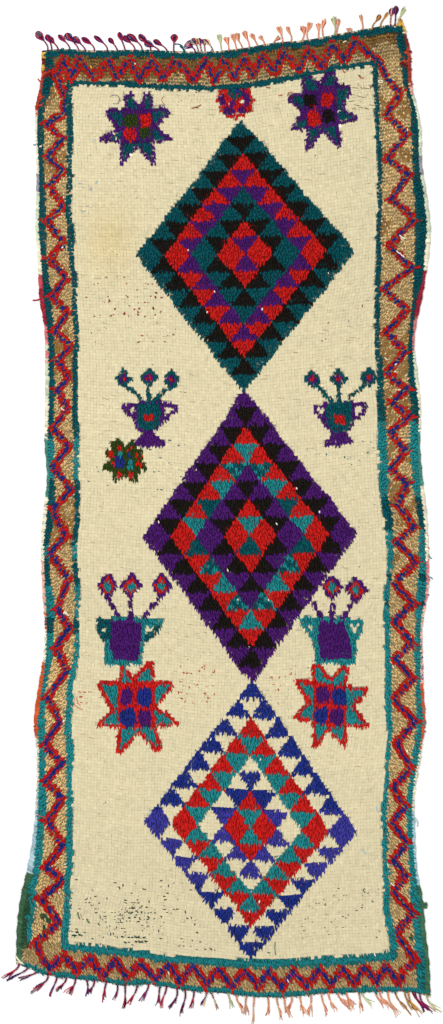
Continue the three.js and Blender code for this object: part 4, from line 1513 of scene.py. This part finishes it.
# Loose threads on the pile and at its edges: from, to, how far the middle bows, yarn, radius.
threads = [
    (-397, 278, -435, 259, 14, "purple", 1.0), (-401, 270, -424, 285, -10, "purple", 1.0),
    (-420, 362, -411, 380, 6, "purple", 1.1), (-276, 297, -230, 310, -8, "purple", 1.1),
    (-368, 256, -384, 240, -7, "purple", 1.0), (-234, 258, -230, 289, 10, "wine", 0.8),
    (-193, 62, -160, 92, -13, "teal", 2.4), (-174, 70, -156, 100, -6, "teal", 3.8),
    (-182, 88, -166, 94, 4, "palest", 1.8), (636, -8, 652, -20, 3, "gold", 3.4),
    (650, -4, 663, -18, -3, "yellow", 3.4), (660, -20, 669, -2, 3, "gold", 3.2),
    (626, -4, 644, -1, 2, "cream", 2.6), (664, -6, 674, 14, 2, "yellow", 3.2),
    (660, 20, 678, 14, 3, "cream", 2.8), (-622, 90, -604, 88, -13, "teal", 1.5),
    (-60, 98, -44, 95, -14, "teal", 1.4), (-716, 2948, -671, 2958, 3, "red", 1.6),
    (-574, 2527, -538, 2556, 6, "orange", 1.3), (-560, 2511, -548, 2540, 4, "orange", 1.1),
    (-706, 191, -686, 208, 4, "brick", 2.6), (-724, 439, -704, 436, 2, "teal", 2.2),
    (-726, 1022, -700, 1018, 2, "wine", 3.2), (700, 2958, 716, 2996, -9, "blueGrey", 2.3),
    (702, 2984, 713, 2978, -3, "blueGrey", 1.9), (729, 3284, 753, 3282, 0, "bottle", 3.8),
    (729, 3292, 755, 3290, 0, "bottle", 3.8), (729, 3299, 753, 3299, 0, "bottle", 3.8),
    (757, 1976, 771, 1990, 3, "turquoise", 2.4), (757, 2060, 773, 2068, -3, "turquoise", 2.4),
    (230, 258, 249, 246, -9, "brick", 1.5), (236, 262, 252, 254, 6, "darkRed", 1.3),
    (436, 156, 445, 171, 2, "brick", 2.0), (498, 184, 513, 190, 2, "brick", 2.2),
    (494, 178, 502, 182, 1, "black", 1.8), (150, 224, 164, 227, 1, "brick", 2.2),
    (196, 256, 210, 253, 1, "red", 1.8), (-131, 303, -95, 290, 3, "darkRed", 1.7),
    (-116, 298, -104, 303, 1, "darkRed", 1.5), (-180, 238, -168, 236, 0, "darkRed", 1.1),
    (649, 778, 670, 792, 2, "palest", 2.2), (654, 788, 662, 796, 2, "palest", 1.6),
    (638, 836, 652, 848, 2, "palest", 2.2), (650, 844, 668, 862, 2, "palest", 2.0),
    (-620, 1424, -607, 1434, 2, "palest", 2.2), (-602, 2188, -590, 2204, 2, "palest", 2.4),
    (616, 3204, 630, 3216, 2, "palest", 2.2), (594, 1236, 605, 1246, 2, "palest", 1.8),
    (-288, 2926, -283, 2948, 2, "blueGrey", 2.0), (562, 2918, 570, 2940, 2, "blueGrey", 2.2),
    (510, 3078, 524, 3096, 2, "blueGrey", 2.6), (569, 199, 586, 205, 6, "palest", 1.7),
    (586, 205, 570, 203, 6, "palest", 1.7), (-790, 3478, -754, 3514, 3, "cream", 3.6),
    (668, 4, 674, 30, 1, "yellow", 2.6), (450, 52, 438, 58, 2, "palest", 2.0),
    (540, 2360, 556, 2366, 3, "cream", 1.0), (418, 320, 428, 314, -5, "palest", 1.6),
    (-556, 3315, -549, 3340, 2, "bottle", 2.2), (-522, 3340, -512, 3355, 2, "bottle", 2.6),
    (-481, 3355, -474, 3365, 1, "bottle", 2.0), (183, 3427, 185, 3475, 2, "bottle", 1.4),
    (154, 3465, 164, 3468, 1, "bottle", 1.8), (512, 3230, 520, 3242, 1, "bottle", 2.0),
    (544, 3272, 552, 3276, 1, "bottle", 2.0),
]
ends = np.array([thread[:5] for thread in threads], float)
fromPlace, toPlace, bow = ends[:, :2], ends[:, 2:4], ends[:, 4:]
aside = (toPlace - fromPlace)[:, ::-1] * [-1, 1]
aside = aside / np.linalg.norm(aside, axis=1, keepdims=True) * bow * 1.35
bent = [lerp(fromPlace, toPlace, part) + aside for part in (0.3, 0.7)]
threadLines = routes(np.stack([fromPlace, *bent, toPlace], axis=1), np.linspace(0, 1, 11))
threadRadius = np.array([thread[6] for thread in threads])[:, None] * np.ones((1, 11))
lineAcross, lineDown = threadLines[..., 0], threadLines[..., 1]
within = np.min(
    [
        lineAcross - readTable(sides, "down", "left", lineDown),
        readTable(sides, "down", "right", lineDown) - lineAcross,
        lineDown - readTable(topEnd, "across", "down", lineAcross),
        readTable(bottomEnd, "across", "down", lineAcross) - lineDown,
    ],
    axis=0,
)
threadHeight = threadRadius + (9.6 - threadRadius) * np.clip(within / 12 + 0.2, 0, 1)
points, triangles = tubes(
    np.concatenate([threadLines, threadHeight[..., None]], -1), threadRadius, 5
)
tones = np.repeat(toLinear([anyYarn[thread[5]] for thread in threads]), 55, axis=0)
threadPiece = makePiece("loose_threads", toFrame(*points.T), triangles, tones, cordWool)
tied(threadPiece, "rug_pile")
print("loose threads", len(threads))


# The tassels of one end: a stalk of three twisted yarns, and then at the top a bulb of yarns side
# by side, blunt at its tip, or a flared brush, and at the bottom a stalk that comes apart.
def makeTassels(name, node, end, outward, runs):
    kinds = [kind for kind, run in runs for row in run]
    roots, leans, reaches, headHalf = np.array([row for kind, run in runs for row in run], float).T
    isFlared = np.array([kind in flared for kind in kinds])[:, None]
    isTop = outward > 0
    which = 0 if isTop else 1
    radius, stalkEnd, yarnCount = (tassel[key][which] for key in ("yarn", "stalk", "threads"))
    tones = toLinear([[fringeYarns[yarn] for yarn in tasselMixes[kind]] for kind in kinds])
    tones = tones * rng.uniform(0.88, 1.12, (len(roots), 1, 1))
    start = readTable(end, "across", "down", roots) - outward * weave["width"] / 2
    flat = np.zeros(len(roots))
    sway = rng.normal(0, tassel["sway"], (2, len(roots))) * np.clip(reaches / 60, 0, 1)
    bends = [(0, 0), (0.4, -0.05), (0.6, 0.6), (1, 1)]
    sways = [flat, sway[0], sway[1], flat]
    controls = np.stack(
        [
            np.stack([roots + leans * aside + own, start - outward * reaches * away, flat], -1)
            for (away, aside), own in zip(bends, sways)
        ],
        axis=1,
    )
    parts = []
    at = np.linspace(0, stalkEnd, 15)
    middle = routes(controls, at)
    ahead = routes(controls, at + 0.01) - middle
    ahead /= np.linalg.norm(ahead, axis=-1, keepdims=True)
    aside = np.stack([ahead[..., 1], -ahead[..., 0]], -1)
    for strand in range(3):
        turn = 2 * math.pi * (tassel["twists"] * at[None] / stalkEnd + strand / 3)
        turn = turn + roots[:, None]
        line = middle.copy()
        line[..., :2] += aside * np.cos(turn)[..., None] * radius
        line[..., 2] = radius * 2.1 + radius * np.sin(turn)
        points, triangles = tubes(line, np.full(line.shape[:2], radius), 4)
        parts.append((points, triangles, np.repeat(tones[:, strand] * 0.85, 15 * 4, axis=0)))
    sweep = np.linspace(0, 1, 9)
    for thread in range(yarnCount):
        fan = (thread + 0.5) / yarnCount * 2 - 1
        if isTop:
            own = rng.uniform(0.85, 1.1, (len(roots), 1))
            bulb = np.sin((0.9 * sweep) ** 1.6 * math.pi) ** 0.7 * 1.05 + 0.12
            bulge = np.where(isFlared, 0.2 + 0.9 * sweep**0.9, bulb)
            forward = stalkEnd - 0.03 + (1.03 - stalkEnd) * sweep * (1.04 - 0.14 * fan**2)
            forward = forward + np.where(isFlared, sweep * (own - 0.97) * 0.6, 0)
            width = fan * headHalf[:, None] * bulge * own
            lift = radius * (1.5 + 1.5 * bulge * (1 - abs(fan)) + 0.5 * (thread % 2))
            radii = radius * (1.25 - 0.3 * sweep)
        else:
            # Wisps leave the stalk one by one, each its own way.
            leaves = stalkEnd - 0.05 + rng.uniform(0, 0.16, (len(roots), 1))
            length = (1.04 - leaves) * rng.uniform(0.5, 1.0, (len(roots), 1))
            length = np.maximum(length, (1.0 - leaves) * (thread == 0))
            forward = leaves + length * sweep
            side = fan * 0.9 + rng.normal(0, 0.4, (len(roots), 1))
            width = side * headHalf[:, None] * sweep**0.9
            width = width + 1.6 * np.sin(sweep * 5 + thread * 2 + roots[:, None]) * sweep
            lift = radius * (2.2 - 1.2 * sweep)
            radii = radius * (1.1 - 0.4 * sweep)
        line = routes(controls, forward)
        ahead = np.gradient(routes(controls, np.linspace(stalkEnd, 1, len(sweep))), axis=1)
        ahead /= np.linalg.norm(ahead, axis=-1, keepdims=True)
        line[..., :2] += np.stack([ahead[..., 1], -ahead[..., 0]], -1) * width[..., None]
        line[..., 2] = np.maximum(lift, radii)
        points, triangles = tubes(line, np.broadcast_to(radii, width.shape), 3)
        # Yarns of one colour lie in twos, so that the head is striped.
        tone = tones[np.arange(len(roots)), (thread // 2 + np.arange(len(roots))) % 3]
        tone = tone * rng.uniform(0.8, 1.2, (len(roots), 1))
        parts.append((points, triangles, np.repeat(tone, 9 * 3, axis=0)))
    points, triangles, tones = gathered(parts)
    piece = makePiece(name, toFrame(*points.T), triangles, tones, tasselWool)
    return tied(piece, node)


# The flat-woven edge beyond the pile: a thin strip with a rib over each pair of warps.
def makeWovenEdge(name, node, outward):
    along = 0.0 if outward > 0 else 1.0
    steps = weave["steps"]
    share = np.linspace(0, 1, steps + 1)[:, None]
    across, down, _ = rugPlace(share, along)
    beyond = np.array([[0, 0, 0.35, 0.7, 1, 1]]) * weave["width"] + 0.3
    rib = 0.82 + 0.18 * (np.arange(steps + 1) % 2)[:, None]
    height = np.array([[0, 0.9, 1, 0.95, 0.75, 0]]) * weave["height"] * rib
    points = toFrame(np.broadcast_to(across, height.shape), down - outward * beyond, height)
    index = np.arange(points.shape[0] * points.shape[1]).reshape(points.shape[:2])
    quads = ringWalls(index).reshape(-1, 4)
    near, far = index[0], index[-1]
    ends = np.stack([near[[0, 1, 2, 3]], near[[0, 3, 4, 5]], far[[3, 2, 1, 0]], far[[5, 4, 3, 0]]])
    faces = np.concatenate([quads, ends[:, ::-1]])
    if outward > 0:
        faces = faces[:, ::-1]
    # Patches of cream and of darker brown, teal and maroon: partly the yarns lying over the edge,
    # partly painted shade under the overhanging pile and tassels.
    mottle = toLinear([(214, 204, 172), (150, 128, 92), (16, 82, 86), (96, 30, 52)])
    mottle = mottle[rng.choice(4, steps + 1, p=[0.26, 0.2, 0.42, 0.12])][:, None, :]
    colours = np.broadcast_to(mottle, points.shape).reshape(-1, 3)
    piece = makePiece(name, points.reshape(-1, 3), faces, colours, clothWool)
    return tied(piece, node)


fringePieces = [
    makeWovenEdge("woven_edge_top", "fringe_top", 1),
    makeWovenEdge("woven_edge_bottom", "fringe_bottom", -1),
    makeTassels("tassels_top", "fringe_top", topEnd, 1, topTassels),
    makeTassels("tassels_bottom", "fringe_bottom", bottomEnd, -1, bottomTassels),
]
print("fringes tied")

# A pale floor and two soft lamps, seen from straight above.
studio = {"floor": 14.0, "floorColour": (0.93, 0.93, 0.92), "camera": 9.0, "span": 3.84}
studio["air"] = 0.6  # how bright the room is all round

floorNodes = Nodes("pale matte floor")
floorPlace = floorNodes.add("ShaderNodeTexCoord", None, None, "Object")
floorSpeckle = floorNodes.add("ShaderNodeTexNoise", None, {"Vector": floorPlace, "Scale": 30.0})
floorRough = 0.85 + floorSpeckle * 0.1
floorShader = floorNodes.add(
    "ShaderNodeBsdfPrincipled",
    None,
    {"Base Color": (*studio["floorColour"], 1), "Roughness": floorRough, "Specular IOR Level": 0.1},
)
half = studio["floor"] / 2
floorMesh = bpy.data.meshes.new("floor")
floorMesh.from_pydata(
    [(-half, -half, 0), (half, -half, 0), (half, half, 0), (-half, half, 0)], [], [(0, 1, 2, 3)]
)
floorMesh.materials.append(floorNodes.finish(floorShader))
floor = bpy.data.objects.new("floor", floorMesh)
bpy.context.scene.collection.objects.link(floor)
floor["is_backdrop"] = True

for name, place, size, power in (
    ("overhead softbox", (-3.4, 2.2, 6.0), 3.6, 322),
    ("low fill", (3.4, -2.4, 6.0), 3.6, 152),
):
    lamp = bpy.data.lights.new(name, "AREA")
    lamp.shape, lamp.size, lamp.energy = "SQUARE", size, power
    light = bpy.data.objects.new(name, lamp)
    light.location = place
    direction = np.array([0, 0, 0]) - np.array(place)
    light.rotation_euler = (
        math.acos(-direction[2] / np.linalg.norm(direction)),
        0,
        math.atan2(direction[1], direction[0]) - math.pi / 2,
    )
    bpy.context.scene.collection.objects.link(light)

world = bpy.data.worlds.new("studio air")
world.use_nodes = True
world.node_tree.nodes["Background"].inputs["Color"].default_value = (1, 1, 1, 1)
world.node_tree.nodes["Background"].inputs["Strength"].default_value = studio["air"]
bpy.context.scene.world = world
bpy.context.scene.view_settings.view_transform = "Standard"

lens = bpy.data.cameras.new("overhead camera")
lens.sensor_width = 36
lens.lens = 36 * studio["camera"] / studio["span"]
camera = bpy.data.objects.new("overhead camera", lens)
camera.location = (-0.002, 0, studio["camera"])
bpy.context.scene.collection.objects.link(camera)
bpy.context.scene.camera = camera

low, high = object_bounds()
print("size", [round(value, 4) for value in (*low, *high)])
